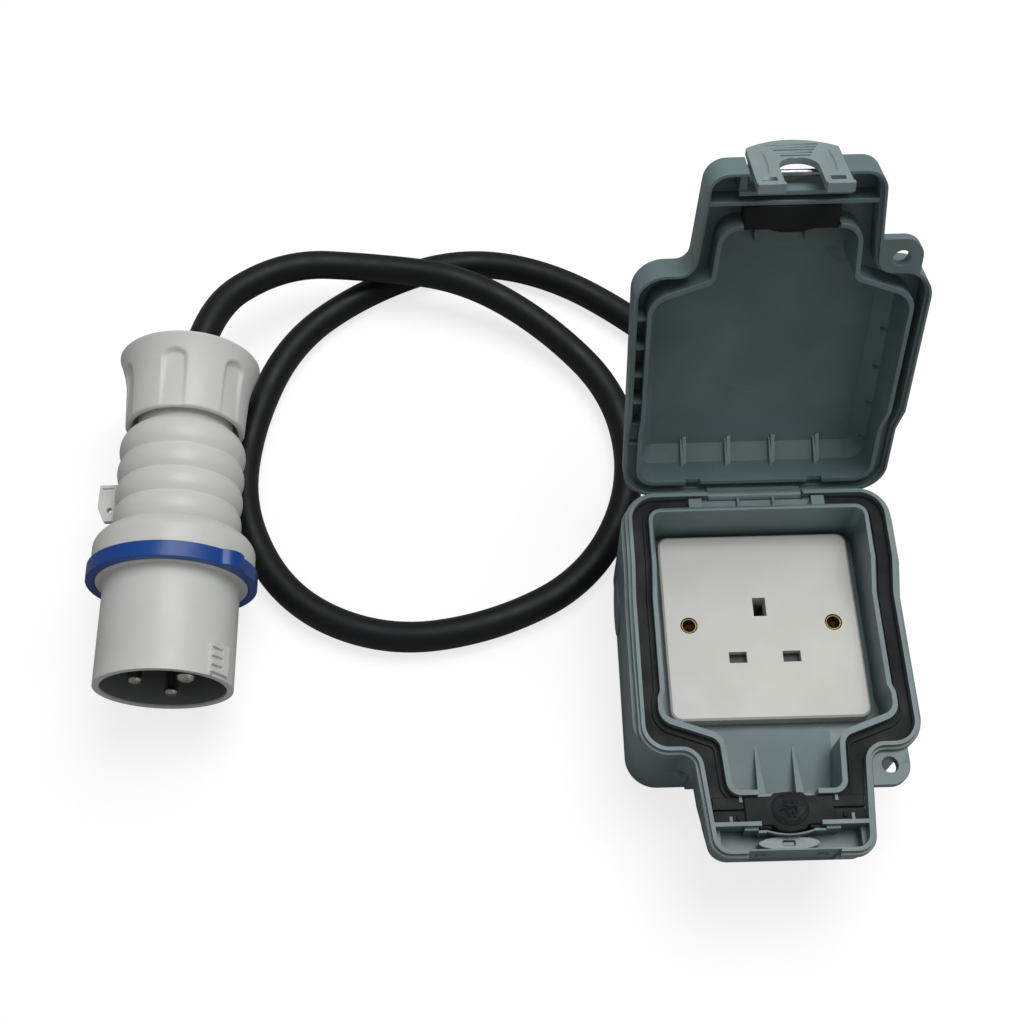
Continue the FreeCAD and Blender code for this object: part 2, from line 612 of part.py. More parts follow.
def body_sketch(body, role, corners, offset="0"):
    """Sketch on one of the body's own planes."""
    plane = [item for item in body.Origin.OriginFeatures if item.Role == role][0]
    sketch = body.newObject("Sketcher::SketchObject", "Sketch")
    sketch.AttachmentSupport = (plane, [""])
    sketch.MapMode = "FlatFace"
    sketch.setExpression("AttachmentOffset.Base.z", link(offset))
    return draw(sketch, corners)


def pad(body, corners, low, high):
    """Adds a block on the XY plane between two heights."""
    feature = body.newObject("PartDesign::Pad", "Pad")
    feature.Profile = body_sketch(body, "XY_Plane", corners, low)
    return bind(feature, Length=f"({high}) - ({low})")


def pocket(body, corners, low, high):
    """Removes a block between two heights."""
    feature = body.newObject("PartDesign::Pocket", "Pocket")
    feature.Profile = body_sketch(body, "XY_Plane", corners, low)
    feature.Reversed = True
    return bind(feature, Length=f"({high}) - ({low})")


def turned(node, profile, placement=None):
    """Piece turned about its own Z axis; the profile's corners are (radius, height)."""
    body = new_body(node, placement)
    feature = body.newObject("PartDesign::Revolution", "Turned")
    sketch = body_sketch(body, "XZ_Plane", profile)
    feature.Profile = sketch
    feature.ReferenceAxis = (sketch, ["V_Axis"])
    feature.Angle = 360
    return body


def rectangle(half_x, half_y, x="0", y="0"):
    """Corners of a rectangle round a centre."""
    return [(f"{x} + {half_x}", f"{y} + {half_y}"), (f"{x} + {half_x}", f"{y} - ({half_y})"),
            (f"{x} - ({half_x})", f"{y} - ({half_y})"), (f"{x} - ({half_x})", f"{y} + {half_y}")]


def tube_profile(inner, outer, low, high):
    """Profile of a plain ring."""
    return [(inner, low), (outer, low), (outer, high), (inner, high)]


# Outlines shared by the frame, the gasket and the lid

FAR = "(neck_end + hinge_end)"
SIDE = "(2*ledge_half)"


def ledge(inset, low, high):
    """The enclosure's outer outline, drawn in by an inset."""
    corners = mirrored([
        (f"ledge_half - ({inset})", f"hinge_end - ({inset})"),
        (f"ledge_half - ({inset})", f"{inset} - shoulder"),
        (f"neck_half - ({inset})", f"{inset} - shoulder"),
        (f"neck_end_half - ({inset})", f"{inset} - neck_end"),
    ])
    step = total(inset)
    right = [size("hinge_corner") - step, size("shoulder_corner") - step,
             size("neck_fillet") + step, size("neck_corner") - step]
    return prism(corners, low, high, radii=right + right[::-1])


def well(outset, low, high):
    """The inner rim's outline, drawn out by an outset."""
    corners = mirrored([
        (f"well_half + {outset}", f"well_hinge + {outset}"),
        (f"well_half + {outset}", "-kink_start"),
        (f"well_half + kink + {outset}", "-kink_end"),
        *well_neck(outset),
    ])
    step = total(outset)
    corner = size("well_corner") + step
    right = [corner, 0, 0, corner + size("shoulder_ease"), size("well_fillet") - step, corner]
    return prism(corners, low, high, radii=right + right[::-1])


def well_neck(outset):
    """Right-hand corners of that outline from the shoulder to the neck end."""
    return [
        (f"well_half + kink + {outset}", f"-(well_shoulder + {outset})"),
        (f"well_neck_half + {outset}", f"-(well_neck_top + {outset})"),
        (f"well_neck_end_half + {outset}", f"-(well_end + {outset})"),
    ]


def dome_outline(outset, low, high):
    """The lid's dome: the outline round the well with straight sides."""
    corners = mirrored([(f"well_half + kink + {outset}", f"well_hinge + {outset}"), *well_neck(outset)])
    step = total(outset)
    corner = size("well_corner") + step
    right = [corner, corner + size("shoulder_ease"), size("well_fillet") - step, corner]
    return prism(corners, low, high, radii=right + right[::-1])


def above(level):
    """Everything above a rim surface that climbs the ramp towards the hinge."""
    return prism([
        (f"-{FAR}", level), ("ramp_start", level), ("ramp_end", f"{level} + ramp_rise"),
        (FAR, f"{level} + ramp_rise"), (FAR, FAR), (f"-{FAR}", FAR),
    ], f"-{SIDE}", SIDE, plane="YZ")


def below(level):
    """Everything below such a surface."""
    return prism([
        (f"-{FAR}", level), ("ramp_start", level), ("ramp_end", f"{level} + ramp_rise"),
        (FAR, f"{level} + ramp_rise"), (FAR, f"-{FAR}"), (f"-{FAR}", f"-{FAR}"),
    ], f"-{SIDE}", SIDE, plane="YZ")


def under_neck():
    """Space below the sloping underside of the neck."""
    return prism([
        ("-underside_start", "-1"), ("-underside_start", "underside_low"),
        ("-neck_end", "underside_high"), (f"-{FAR}", "underside_high"), (f"-{FAR}", "-1"),
    ], f"-{SIDE}", SIDE, plane="YZ")


def box_outline(inset, low, high):
    """Side walls of the back box, and of the frame above it, drawn in by an inset."""
    corners = mirrored([
        (f"box_half - ({inset})", f"box_hinge - ({inset})"),
        (f"box_half - ({inset})", f"{inset} - box_front"),
    ])
    return prism(corners, low, high, radii=[size("box_corner") - total(inset)] * 4)


def posts(low, high, radius):
    """One rod at each frame screw."""
    return [rod(radius, low, high, (f"{sign}post_x", y))
            for sign in ("", "-") for y in ("post_hinge_y", "-post_neck_y")]


def build_back_box():
    neck = prism(mirrored([
        ("neck_half - box_neck_inset", "box_wall - box_front"),
        ("neck_end_half - box_neck_inset", "-box_neck_end"),
    ]), "0", "seam_height")
    hollow = cut(join(box_outline("0", "0", "seam_height"), neck),
                 box_outline("box_wall", "box_floor", "seam_height + 1"), under_neck())
    inner = "box_half - box_wall"
    outer = "box_half + entry_pad_rise"
    pads = sides(lambda sign: rod(
        "entry_pad_radius", f"-({outer})" if sign else inner, f"-({inner})" if sign else outer,
        ("entry_pad_y", "seam_height/2"), axis="X"))
    body = join(hollow, *posts("0", "seam_height", "post_radius"), *pads)
    holes = [rod("fixing_hole", "-1", "box_floor + 1", (f"{sx}fixing_x", f"{sy}fixing_y"))
             for sx in ("", "-") for sy in ("", "-")]
    holes += posts("-1", "seam_height + 1", "screw_radius + screw_clearance")
    holes += posts("-1", "screw_sink + screw_head", "screw_head_radius + screw_clearance")
    holes.append(rod("thread_radius + thread_gap", "box_hinge - box_wall - 1", "box_hinge + 1",
                     ("0", "gland_z"), axis="Y"))
    piece("back_box", cut(body, *holes))


def build_frame_screws():
    screws = []
    for shank, head in zip(
            posts("screw_sink + screw_head/2", "seam_height + screw_reach", "screw_radius"),
            posts("screw_sink", "screw_sink + screw_head", "screw_head_radius")):
        screws.append(join(shank, head))
    slots = posts("screw_sink - 1", "screw_sink + screw_head/2", "screw_socket")
    piece("frame_screws", group(*[cut(screw, slot) for screw, slot in zip(screws, slots)]))


EAR = ("ear_x", "-ear_y")


def ear(low, high):
    """Padlock ear beside the neck, without its hole."""
    inner = "neck_end_half - frame_wall"
    root = prism([
        (inner, "frame_wall - shoulder"), ("ear_x + ear_radius", "frame_wall - shoulder"),
        ("ear_x + ear_radius", "-ear_y"), ("ear_x", "-(ear_y + ear_radius)"),
        (inner, "-(ear_y + ear_radius)"),
    ], low, high)
    return join(root, rod("ear_radius", low, high, EAR))


def build_front_frame():
    top = "ledge_height + ramp_rise + lip_rise + 5"
    wall = cut(join(box_outline("0", "seam_height", top), ledge("wall_proud", "seam_height", top)),
               above("ledge_height - flange_depth"))
    flange = cut(ledge("0", "seam_height", top), above("ledge_height"), below("ledge_height - flange_depth"))
    lip = cut(ledge("lip_setback", "seam_height + 5", top), above("ledge_height + lip_rise"))
    channel = cut(ledge("lip_inside", "seam_height", top), well("rim_wall", "seam_height - 1", f"{top} + 1"),
                  below("ledge_height - channel_drop"))
    well_room = well("0", "floor_height", top)
    neck_fill = prism([
        ("-neck_floor_start", "floor_height - 1"), ("-neck_floor_start", "neck_floor_high"),
        ("-(well_end + 1)", "neck_floor_low"), ("-(well_end + 1)", "floor_height - 2"),
    ], "-(well_neck_half + 0.5)", "well_neck_half + 0.5", plane="YZ")
    hollow = box_outline("frame_wall", "seam_height - 1", "floor_height - floor_web")
    gallery = cut(box_outline("frame_wall", "seam_height - 1", top),
                  well("rim_wall", "seam_height - 2", f"{top} + 1"),
                  above("ledge_height - channel_drop - channel_web"))
    shell = cut(join(wall, flange, lip, ear("ear_top - ear_thickness", "ear_top")),
                channel, well_room, hollow, gallery, under_neck())
    rib_slope = prism([
        ("-(well_end + 0.5)", "neck_floor_low - 1"), ("-(well_end + 0.5)", "neck_floor_high + 3"),
        ("-well_neck_top", "neck_floor_high - 1"),
    ], f"-{SIDE}", SIDE, plane="YZ")
    ribs = sides(lambda sign: common(rib_slope, prism([
        (f"{sign}neck_rib_x + neck_rib_narrow/2", "-well_neck_top"),
        (f"{sign}neck_rib_x + neck_rib_wide/2", "-(well_end + 0.5)"),
        (f"{sign}neck_rib_x - neck_rib_wide/2", "-(well_end + 0.5)"),
        (f"{sign}neck_rib_x - neck_rib_narrow/2", "-well_neck_top"),
    ], "floor_height - floor_web", "ledge_height")))
    cross = common(
        block(("-neck_half", "neck_half"), ("-(cross_wall_y + cross_wall)", "-cross_wall_y"),
              ("front_bay_floor", "ledge_height + lip_rise")),
        ledge("lip_inside - 0.5", "seam_height", top))
    blocks = sides(lambda sign: block(
        (f"{sign}{'block_out' if sign else 'block_in'}", f"{sign}{'block_in' if sign else 'block_out'}"),
        ("well_hinge + rim_wall - 0.5", "well_hinge + rim_wall + block_depth"),
        ("ledge_height - channel_drop", "ledge_height + ramp_rise + lip_rise - 0.4")))
    bosses = sides(lambda sign: rod(
        "plate_boss", "plate_boss_low", "floor_height", (f"{sign}plate_screw_x", "0")))
    screw_posts = posts("seam_height", "ledge_height - flange_depth", "post_radius")
    shelf_top = "ledge_height + ramp_rise - hinge_shelf_drop"
    shelf = block(("-block_in", "block_in"), ("well_hinge + rim_wall/2", "hinge_end - lip_inside/2"),
                  ("ledge_height + ramp_rise - channel_drop - channel_web", shelf_top))
    shelf_ribs = sides(lambda sign: block(
        (f"{sign}hinge_rib_x - hinge_shelf_rib/2", f"{sign}hinge_rib_x + hinge_shelf_rib/2"),
        ("well_hinge + rim_wall/2", "hinge_end - lip_inside/2"), (shelf_top, "ledge_height + ramp_rise")))
    hinge_bed = block(LID_KNUCKLE_ROOM, ("well_hinge", "box_hinge"),
                      ("hinge_z - knuckle_radius - frame_wall", "ledge_height - channel_drop + ramp_rise"))
    knuckles = sides(lambda sign: common(
        rod("knuckle_radius", *frame_knuckle_span(sign), ("hinge_y", "hinge_z"), axis="X"),
        block(frame_knuckle_span(sign), ("hinge_end - lip_inside", FAR), ("0", FAR))))
    solid = join(shell, neck_fill, *ribs, cross, *blocks, *bosses, *screw_posts, hinge_bed,
                 shelf, *shelf_ribs, *knuckles)
    opening = block(
        ("-(moulding_half + floor_opening_gap)", "moulding_half + floor_opening_gap"),
        ("-(moulding_low_y + floor_opening_gap)", "moulding_high_y + floor_opening_gap"),
        ("seam_height", "floor_height + 1"))
    front_bay = common(
        block(("bay_side_inset - neck_end_half", "neck_end_half - bay_side_inset"),
              ("bay_end_inset - neck_end", "-(cross_wall_y + cross_wall)"),
              ("front_bay_floor", top)),
        ledge("lip_inside", "seam_height", top))
    latch_notch = block(("-notch_half", "notch_half"), ("-(neck_end + 5)", "notch_depth - neck_end"),
                        ("notch_bottom", top))
    cord_notch = block(("-cord_notch_half", "cord_notch_half"),
                       ("-(cross_wall_y + cross_wall + 1)", "1 - well_end"), ("cord_notch_height", top))
    hinge_gap = block(LID_KNUCKLE_ROOM, ("hinge_end - lip_inside", "hinge_end + 1"),
                      ("ledge_height + ramp_rise", top))
    plate_holes = sides(lambda sign: rod(
        "plate_screw_shank", "plate_boss_low - 1", "floor_height + 1", (f"{sign}plate_screw_x", "0")))
    post_holes = posts("seam_height - 1", "seam_height + screw_reach", "screw_radius")
    pin_bores = sides(lambda sign: rod(
        "hinge_pin_radius + hinge_pin_gap", *frame_knuckle_span(sign), ("hinge_y", "hinge_z"), axis="X"))
    knuckle_room = block(LID_KNUCKLE_ROOM, ("hinge_y - hinge_web - knuckle_gap", "hinge_end + knuckle_radius"),
                         ("hinge_z", top))
    body = cut(solid, opening, front_bay, latch_notch, cord_notch, hinge_gap, *pin_bores,
               knuckle_room, lid_knuckle_swing(), rod("ear_hole", "seam_height", top, EAR),
               *plate_holes, *post_holes)
    catches = sides(lambda sign: block(
        (f"{sign}catch_x - catch_half", f"{sign}catch_x + catch_half"),
        ("notch_depth - neck_end - catch_nose", "notch_depth - neck_end + 0.5"), ("catch_low", "catch_high")))
    piece("front_frame", join(body, *catches))


LID_KNUCKLE = ("-lid_knuckle", "lid_knuckle")
LID_KNUCKLE_ROOM = ("-(lid_knuckle + knuckle_gap)", "lid_knuckle + knuckle_gap")


def frame_knuckle_span(sign, room="0"):
    """Frame knuckle along X, right or left, with room added at both ends."""
    inner = f"lid_knuckle + knuckle_gap - {room}"
    outer = f"lid_knuckle + knuckle_gap + frame_knuckle + {room}"
    return (f"-({outer})", f"-({inner})") if sign else (inner, outer)


def lid_knuckle_swing():
    """Round space that the lid knuckle turns in."""
    return rod("knuckle_radius + knuckle_gap", *LID_KNUCKLE_ROOM, ("hinge_y", "hinge_z"), axis="X")


def build_hinge_pins():
    inner = "lid_knuckle - hinge_pin_inside"
    outer = "lid_knuckle + knuckle_gap + frame_knuckle - hinge_pin_short"
    pins = sides(lambda sign: rod(
        "hinge_pin_radius", f"-({outer})" if sign else inner, f"-({inner})" if sign else outer,
        ("hinge_y", "hinge_z"), axis="X"))
    piece("hinge_pins", group(*pins))


def gasket_ring(outer, inner, low, high):
    """Ring between two outlines of the gasket channel, following the ramp."""
    top = "ledge_height + ramp_rise + 5"
    return cut(ledge(outer, "seam_height", top), well(inner, "seam_height - 1", f"{top} + 1"),
               below(low), above(high))


def build_rim_gaskets():
    floor = "ledge_height - channel_drop"
    base = gasket_ring("lip_inside + gasket_gap", "rim_wall + gasket_gap", floor, f"{floor} + gasket_base")
    crest = f"{floor} + gasket_base + gasket_ridge"
    top = "ledge_height + ramp_rise + 5"
    ridge = cut(well("rim_wall + gasket_gap + gasket_ridge_width + gasket_ridge_width", "seam_height", top),
                well("rim_wall + gasket_gap + gasket_ridge_width", "seam_height - 1", f"{top} + 1"),
                below(f"{floor} + gasket_base/2"), above(crest))
    neck_gap = block((f"-{SIDE}", SIDE), (f"-{FAR}", "-(well_end + rim_wall + gasket_gap)"), ("0", FAR))
    hinge_gap = block(("-(block_out + gasket_gap)", "block_out + gasket_gap"),
                      ("well_hinge", "hinge_end"), ("0", FAR))
    both = cut(join(base, ridge), neck_gap, hinge_gap)
    piece("rim_gasket_left", cut(both, block(("0", SIDE), (f"-{FAR}", FAR), ("0", FAR))))
    piece("rim_gasket_right", cut(both, block((f"-{SIDE}", "0"), (f"-{FAR}", FAR), ("0", FAR))))


def build_base_neck_seal():
    low = "ledge_height - channel_drop"
    near = "-(well_end + rim_wall + seal_gap)"
    far = "-(cross_wall_y - seal_gap)"
    mat = block(("-seal_half", "seal_half"), (far, near), (low, "seal_top"))
    boss = block(("-seal_boss_half", "seal_boss_half"), (far, near), (low, "seal_top + seal_boss_rise"))
    dimple = doc.addObject("Part::Cone", "Dimple")
    bind(dimple, Radius1="dimple_radius/10", Radius2="dimple_radius", Height="dimple_depth",
         Placement__Base__y=f"({near} + {far})/2",
         Placement__Base__z="seal_top + seal_boss_rise - dimple_depth")
    flanges = block(("-seal_flange_half", "seal_flange_half"), (far, near), (low, f"{low} + seal_flange"))
    piece("base_neck_seal", cut(join(mat, boss, flanges), dimple))


def build_latch_keeper():
    centre = "(bay_end_inset + keeper_width + keeper_gap - neck_end)"
    oval = prism([
        ("keeper_half", centre), ("keeper_half - keeper_width", f"{centre} + keeper_width"),
        ("keeper_width - keeper_half", f"{centre} + keeper_width"), ("-keeper_half", centre),
        ("keeper_width - keeper_half", f"{centre} - keeper_width"),
        ("keeper_half - keeper_width", f"{centre} - keeper_width"),
    ], "front_bay_floor", "keeper_top", radii=[size("keeper_width") * 0.6] * 6)
    slot = block(("-keeper_slot_half", "keeper_slot_half"),
                 (f"{centre} - keeper_slot_width", f"{centre} + keeper_slot_width"),
                 ("keeper_top - keeper_slot_depth", "keeper_top + 1"))
    piece("latch_keeper", cut(oval, slot))


# Lid, drawn closed and then swung open about its hinge

def swing():
    """Placement that opens a lid piece."""
    axis_point = Vector(0, size("hinge_y"), size("hinge_z"))
    return Placement(Vector(), Rotation(Vector(1, 0, 0), -size("lid_open_angle")), axis_point)


def chamfer_top(feature, height, amount):
    """Chamfers the edges round the top face."""
    doc.recompute()
    chamfer = doc.addObject("Part::Chamfer", "Chamfer")
    chamfer.Base = feature
    edges = []
    for number, edge in enumerate(feature.Shape.Edges, 1):
        if all(abs(vertex.Z - height) < 1e-4 for vertex in edge.Vertexes):
            edges.append((number, amount, amount))
    chamfer.Edges = edges
    return chamfer


def build_lid_shell():
    skirt_top = "ledge_height + skirt_height"
    roof = f"{skirt_top} - lid_roof"
    dome_inner = "dome_top - lid_roof"
    neck_x = ("-ledge_half", "ledge_half")
    skirt = cut(ledge("0", "seam_height", skirt_top), below("ledge_height + seat_gap"))
    rebate = cut(ledge("lip_setback - seat_gap", "seam_height - 1", "dome_top"),
                 above("ledge_height + lip_rise + seat_gap"))
    channel = ledge("lid_wall", "seam_height - 1", roof)
    dome = cut(
        chamfer_top(dome_outline("dome_gap", "seam_height", "dome_top"), size("dome_top"), size("dome_chamfer")),
        below("ledge_height + dome_clear"),
        block(neck_x, (f"-{FAR}", "-(neck_dome_start + dome_wall)"), ("neck_dome_top", FAR)))
    room = cut(
        chamfer_top(dome_outline("dome_gap - dome_wall", "seam_height - 1", dome_inner),
                    size("dome_top") - size("lid_roof"), size("room_chamfer")),
        block(neck_x, (f"-{FAR}", "-neck_dome_start"), ("neck_dome_top - lid_roof", FAR)))
    shell = cut(join(cut(skirt, rebate, channel), dome), room)
    clear = "ledge_height + lip_rise + seat_gap"
    ear_plate = cut(ear("ledge_height + seat_gap", "ledge_height + seat_gap + ear_thickness"),
                    ledge("lid_wall/2", "seam_height", skirt_top))
    ribs = []
    for step in range(int(size("lid_rib_count"))):
        middle = f"(lid_rib_pitch*{step} - lid_rib_first)"
        ribs.append(block(("lid_wall/2 - ledge_half", "-(well_half + kink + dome_gap)"),
                          (f"{middle} - rib/2", f"{middle} + rib/2"), ("ledge_height", roof)))
    rib_set = cut(join(*ribs), below(f"{clear} + 0.5"))
    cross = common(
        block(("-neck_half", "neck_half"), ("-(cross_wall_y + cross_wall)", "-cross_wall_y"), (clear, roof)),
        ledge("lid_wall/2", "seam_height", skirt_top))
    cheeks = sides(lambda sign: block(
        ("-(notch_half + cheek)", "-notch_half") if sign else ("notch_half", "notch_half + cheek"),
        ("cheek_inset - neck_end", "cheek_inset - neck_end + cheek_depth"),
        (f"{clear} + 1", f"{skirt_top} - 1")))
    latch_back = "-(latch_pivot_y - latch_knuckle - latch_gap)"
    back_wall = block(("-(notch_half + cheek)", "notch_half + cheek"),
                      (latch_back, f"{latch_back} + latch_back_wall"), (clear, f"{roof} + 1"))
    wall_y = "well_hinge + dome_gap - dome_wall"
    gussets = []
    for step in range(4):
        middle = f"gusset_pitch*({step} - 1.5) - gusset_shift"
        gussets.append(prism([
            (f"{wall_y} + gusset_root", f"{dome_inner} + 1"), (f"{wall_y} - gusset_length", f"{dome_inner} + 1"),
            (f"{wall_y} - room_chamfer/3", f"{dome_inner} - gusset_height"),
            (f"{wall_y} + gusset_root", f"{dome_inner} - gusset_height - gusset_toe"),
        ], f"{middle} - rib/2", f"{middle} + rib/2", plane="YZ"))
    knuckle = join(
        rod("knuckle_radius", *LID_KNUCKLE, ("hinge_y", "hinge_z"), axis="X"),
        block(LID_KNUCKLE, ("hinge_y - hinge_web", "hinge_y + hinge_web"), ("hinge_z", f"{skirt_top} - 1")))
    frame_knuckle_room = sides(lambda sign: rod(
        "knuckle_radius + seat_gap", *frame_knuckle_span(sign, "knuckle_gap"), ("hinge_y", "hinge_z"), axis="X"))
    latch_gap = block(("-notch_half", "notch_half"), (f"-{FAR}", latch_back), ("seam_height", f"{skirt_top} + 1"))
    solid = join(cut(join(shell, ear_plate, cross), latch_gap), back_wall, rib_set, *cheeks, *gussets, knuckle)
    seal_notch = block(("-(seal_half + seal_gap)", "seal_half + seal_gap"),
                       ("-(cross_wall_y - seal_gap/2)", "1 - (well_end + dome_gap - dome_wall)"),
                       ("seam_height", roof))
    block_notches = sides(lambda sign: block(
        ("-(block_out + seat_gap)", "-(block_in - seat_gap)") if sign else
        ("block_in - seat_gap", "block_out + seat_gap"),
        ("well_hinge + rim_wall - 1", "well_hinge + rim_wall + block_depth + seat_gap"),
        ("seam_height", "ledge_height + ramp_rise + lip_rise + seat_gap")))
    hinge_bore = rod("hinge_pin_radius + hinge_pin_gap", f"-{SIDE}", SIDE, ("hinge_y", "hinge_z"), axis="X")
    latch_bore = rod("latch_pin_radius + hinge_pin_gap", "-(notch_half + cheek + 1)", "notch_half + cheek + 1",
                     ("-latch_pivot_y", "latch_pivot_z"), axis="X")
    result = cut(solid, seal_notch, *block_notches, *frame_knuckle_room, hinge_bore, latch_bore,
                 rod("ear_hole", "seam_height", "dome_top", EAR))
    piece("lid_shell", result, swing())


def build_lid_neck_seal():
    skirt_roof = "ledge_height + skirt_height - lid_roof"
    mat = block(("-seal_half", "seal_half"),
                ("-(cross_wall_y - seal_gap)", "lid_seal_reach - (well_end + dome_gap - dome_wall)"),
                ("seal_top + seal_boss_rise + seal_gap", skirt_roof))
    piece("lid_neck_seal", group(mat), swing())


def build_latch():
    inner = "-(neck_end - notch_depth + latch_gap)"
    outer = f"{inner} - latch_thickness"
    plate = common(
        block(("-latch_half", "latch_half"), (outer, inner), ("latch_bottom", "latch_top")),
        rod("latch_arch", f"{outer} - 1", f"{inner} + 1", ("0", "latch_top - latch_arch"), axis="Y"))
    fork = prism(mirrored([
        ("latch_half - latch_leg", "latch_bottom - 1"), ("latch_half - latch_leg", "latch_fork_top"),
    ]), f"{outer} - 2", f"{inner} + 1", plane="XZ", radii=[0, size("fork_round"), size("fork_round"), 0])
    windows = sides(lambda sign: block(
        (f"{sign}catch_x - latch_window_half", f"{sign}catch_x + latch_window_half"),
        (f"{outer} - 1", f"{inner} + 1"), ("latch_window_low", "latch_window_high")))
    grooves = []
    for step in range(int(size("grip_count"))):
        middle = f"grip_top - grip_pitch*{step}"
        half = f"grip_half - grip_step*{step}"
        grooves.append(block((f"-({half})", half), (f"{outer} - 1", f"{outer} + grip_depth"),
                             (f"{middle} - grip_width/2", f"{middle} + grip_width/2")))
    feet = sides(lambda sign: block(
        ("-latch_half", "latch_leg - latch_half") if sign else ("latch_half - latch_leg", "latch_half"),
        (f"{outer} - latch_foot", inner), ("latch_bottom", "latch_bottom + latch_foot_height")))
    arms = []
    for sign in ("", "-"):
        span = ("-latch_half", "latch_arm - latch_half") if sign else ("latch_half - latch_arm", "latch_half")
        arms.append(block(span, (f"{inner} - 0.5", "-latch_pivot_y"),
                          ("latch_pivot_z - latch_knuckle", "latch_pivot_z + latch_knuckle")))
        arms.append(rod("latch_knuckle", *span, ("-latch_pivot_y", "latch_pivot_z"), axis="X"))
    bore = rod("latch_pin_radius + hinge_pin_gap", "-(latch_half + 1)", "latch_half + 1",
               ("-latch_pivot_y", "latch_pivot_z"), axis="X")
    solid = cut(join(plate, *feet, *arms), fork, *windows, *grooves, bore)
    piece("latch", solid, swing())
    pin = rod("latch_pin_radius", "-(notch_half + cheek - 0.2)", "notch_half + cheek - 0.2",
              ("-latch_pivot_y", "latch_pivot_z"), axis="X")
    piece("latch_pin", group(pin), swing())


# Socket outlet in the well

def plate_cuts(low, high):
    """Pin slots through the face of the plate."""
    return [
        block(("-earth_half_width", "earth_half_width"),
              ("earth_y - earth_half_height", "earth_y + earth_half_height"), (low, high)),
        *sides(lambda sign: block(
            (f"{sign}pin_spacing - slot_half_width", f"{sign}pin_spacing + slot_half_width"),
            ("-line_y - slot_half_height", "slot_half_height - line_y"), (low, high))),
    ]


def build_socket_plate():
    top = "floor_height + plate_depth"
    face = prism(rectangle("plate_half_x", "plate_half_y"), "floor_height", top,
                 radii=[size("plate_corner")] * 4)
    bevelled = chamfer_top(face, size("floor_height") + size("plate_depth"), size("plate_bevel"))
    room = block(("plate_edge - plate_half_x", "plate_half_x - plate_edge"),
                 ("plate_edge - plate_half_y", "plate_half_y - plate_edge"),
                 ("floor_height - 1", f"{top} - plate_skin"))
    recesses = sides(lambda sign: rod("plate_recess", f"{top} - plate_recess_depth", f"{top} + 1",
                                      (f"{sign}plate_screw_x", "0")))
    holes = sides(lambda sign: rod("plate_screw_shank + screw_fit", "floor_height", f"{top} + 1",
                                   (f"{sign}plate_screw_x", "0")))
    piece("socket_plate", cut(bevelled, room, *recesses, *holes, *plate_cuts("floor_height", f"{top} + 1")))


def build_plate_screws():
    top = "floor_height + plate_depth - plate_screw_sunk"
    seat = "floor_height + plate_depth - plate_recess_depth"
    screws = []
    for sign in ("", "-"):
        centre = (f"{sign}plate_screw_x", "0")
        screw = join(rod("plate_screw_head", seat, top, centre),
                     rod("plate_screw_shank", "plate_screw_tip", f"{seat} + plate_screw_web", centre))
        screws.append(cut(screw, rod("plate_screw_socket", f"{seat} + plate_screw_web", f"{top} + 1", centre)))
    piece("plate_screws", group(*screws))


MOULDING_TOP = "floor_height + plate_depth - plate_skin"
MOULDING_LOW = f"{MOULDING_TOP} - moulding_depth"
SHUTTER_HIGH = f"{MOULDING_TOP} - shutter_below"
SHUTTER_LOW = f"{SHUTTER_HIGH} - shutter_thickness"
SHUTTER_NEAR = "slot_half_height + shutter_margin - line_y"
SHUTTER_FAR = "-(line_y + slot_half_height + shutter_margin)"
TONGUE_END = "earth_y - earth_half_height - shutter_gap"


def span_corners(x, y):
    """Corners of a rectangle between two pairs of expressions."""
    return [(x[1], y[1]), (x[1], y[0]), (x[0], y[0]), (x[0], y[1])]


def contact_sites():
    """Node prefix, centre and half widths of the leaves for each contact."""
    return [
        ("line", "pin_spacing", "-line_y", "slot_half_width", "slot_half_height"),
        ("neutral", "-pin_spacing", "-line_y", "slot_half_width", "slot_half_height"),
        ("earth", "0", "earth_y", "earth_half_width", "earth_half_height"),
    ]


def build_socket_moulding():
    body = new_body("socket_moulding")
    outline = span_corners(("-moulding_half", "moulding_half"), ("-moulding_low_y", "moulding_high_y"))
    pad(body, outline, MOULDING_LOW, MOULDING_TOP)
    room_top = f"{SHUTTER_LOW} - shutter_gap - cover_thickness"
    for name, x, y, half_x, half_y in contact_sites():
        pocket(body, rectangle(half_x, half_y, x, y), f"{MOULDING_LOW} + 1", f"{MOULDING_TOP} + 1")
        pocket(body, rectangle(f"{half_x} + contact_leaf + contact_room",
                               f"{half_y} + contact_leaf + contact_room", x, y),
               f"{MOULDING_LOW} - 1", room_top)
    shutter_room = span_corners(
        ("-(shutter_half + shutter_gap)", "shutter_half + shutter_gap"),
        (f"{SHUTTER_FAR} - shutter_travel - shutter_gap", f"{SHUTTER_NEAR} + shutter_gap"))
    pocket(body, shutter_room, f"{SHUTTER_LOW} - shutter_gap", f"{SHUTTER_HIGH} + shutter_gap")
    tongue_room = span_corners(
        ("-(shutter_tongue + shutter_gap)", "shutter_tongue + shutter_gap"),
        (f"{SHUTTER_NEAR}", f"{TONGUE_END} + shutter_gap + 0.5"))
    pocket(body, tongue_room, f"{SHUTTER_LOW} - shutter_gap", f"{SHUTTER_HIGH} + shutter_gap")


def build_shutter():
    body = new_body("shutter")
    pad(body, span_corners(("-shutter_half", "shutter_half"), (SHUTTER_FAR, SHUTTER_NEAR)),
        SHUTTER_LOW, SHUTTER_HIGH)
    pad(body, span_corners(("-shutter_tongue", "shutter_tongue"), (f"{SHUTTER_NEAR} - 1", TONGUE_END)),
        SHUTTER_LOW, SHUTTER_HIGH)


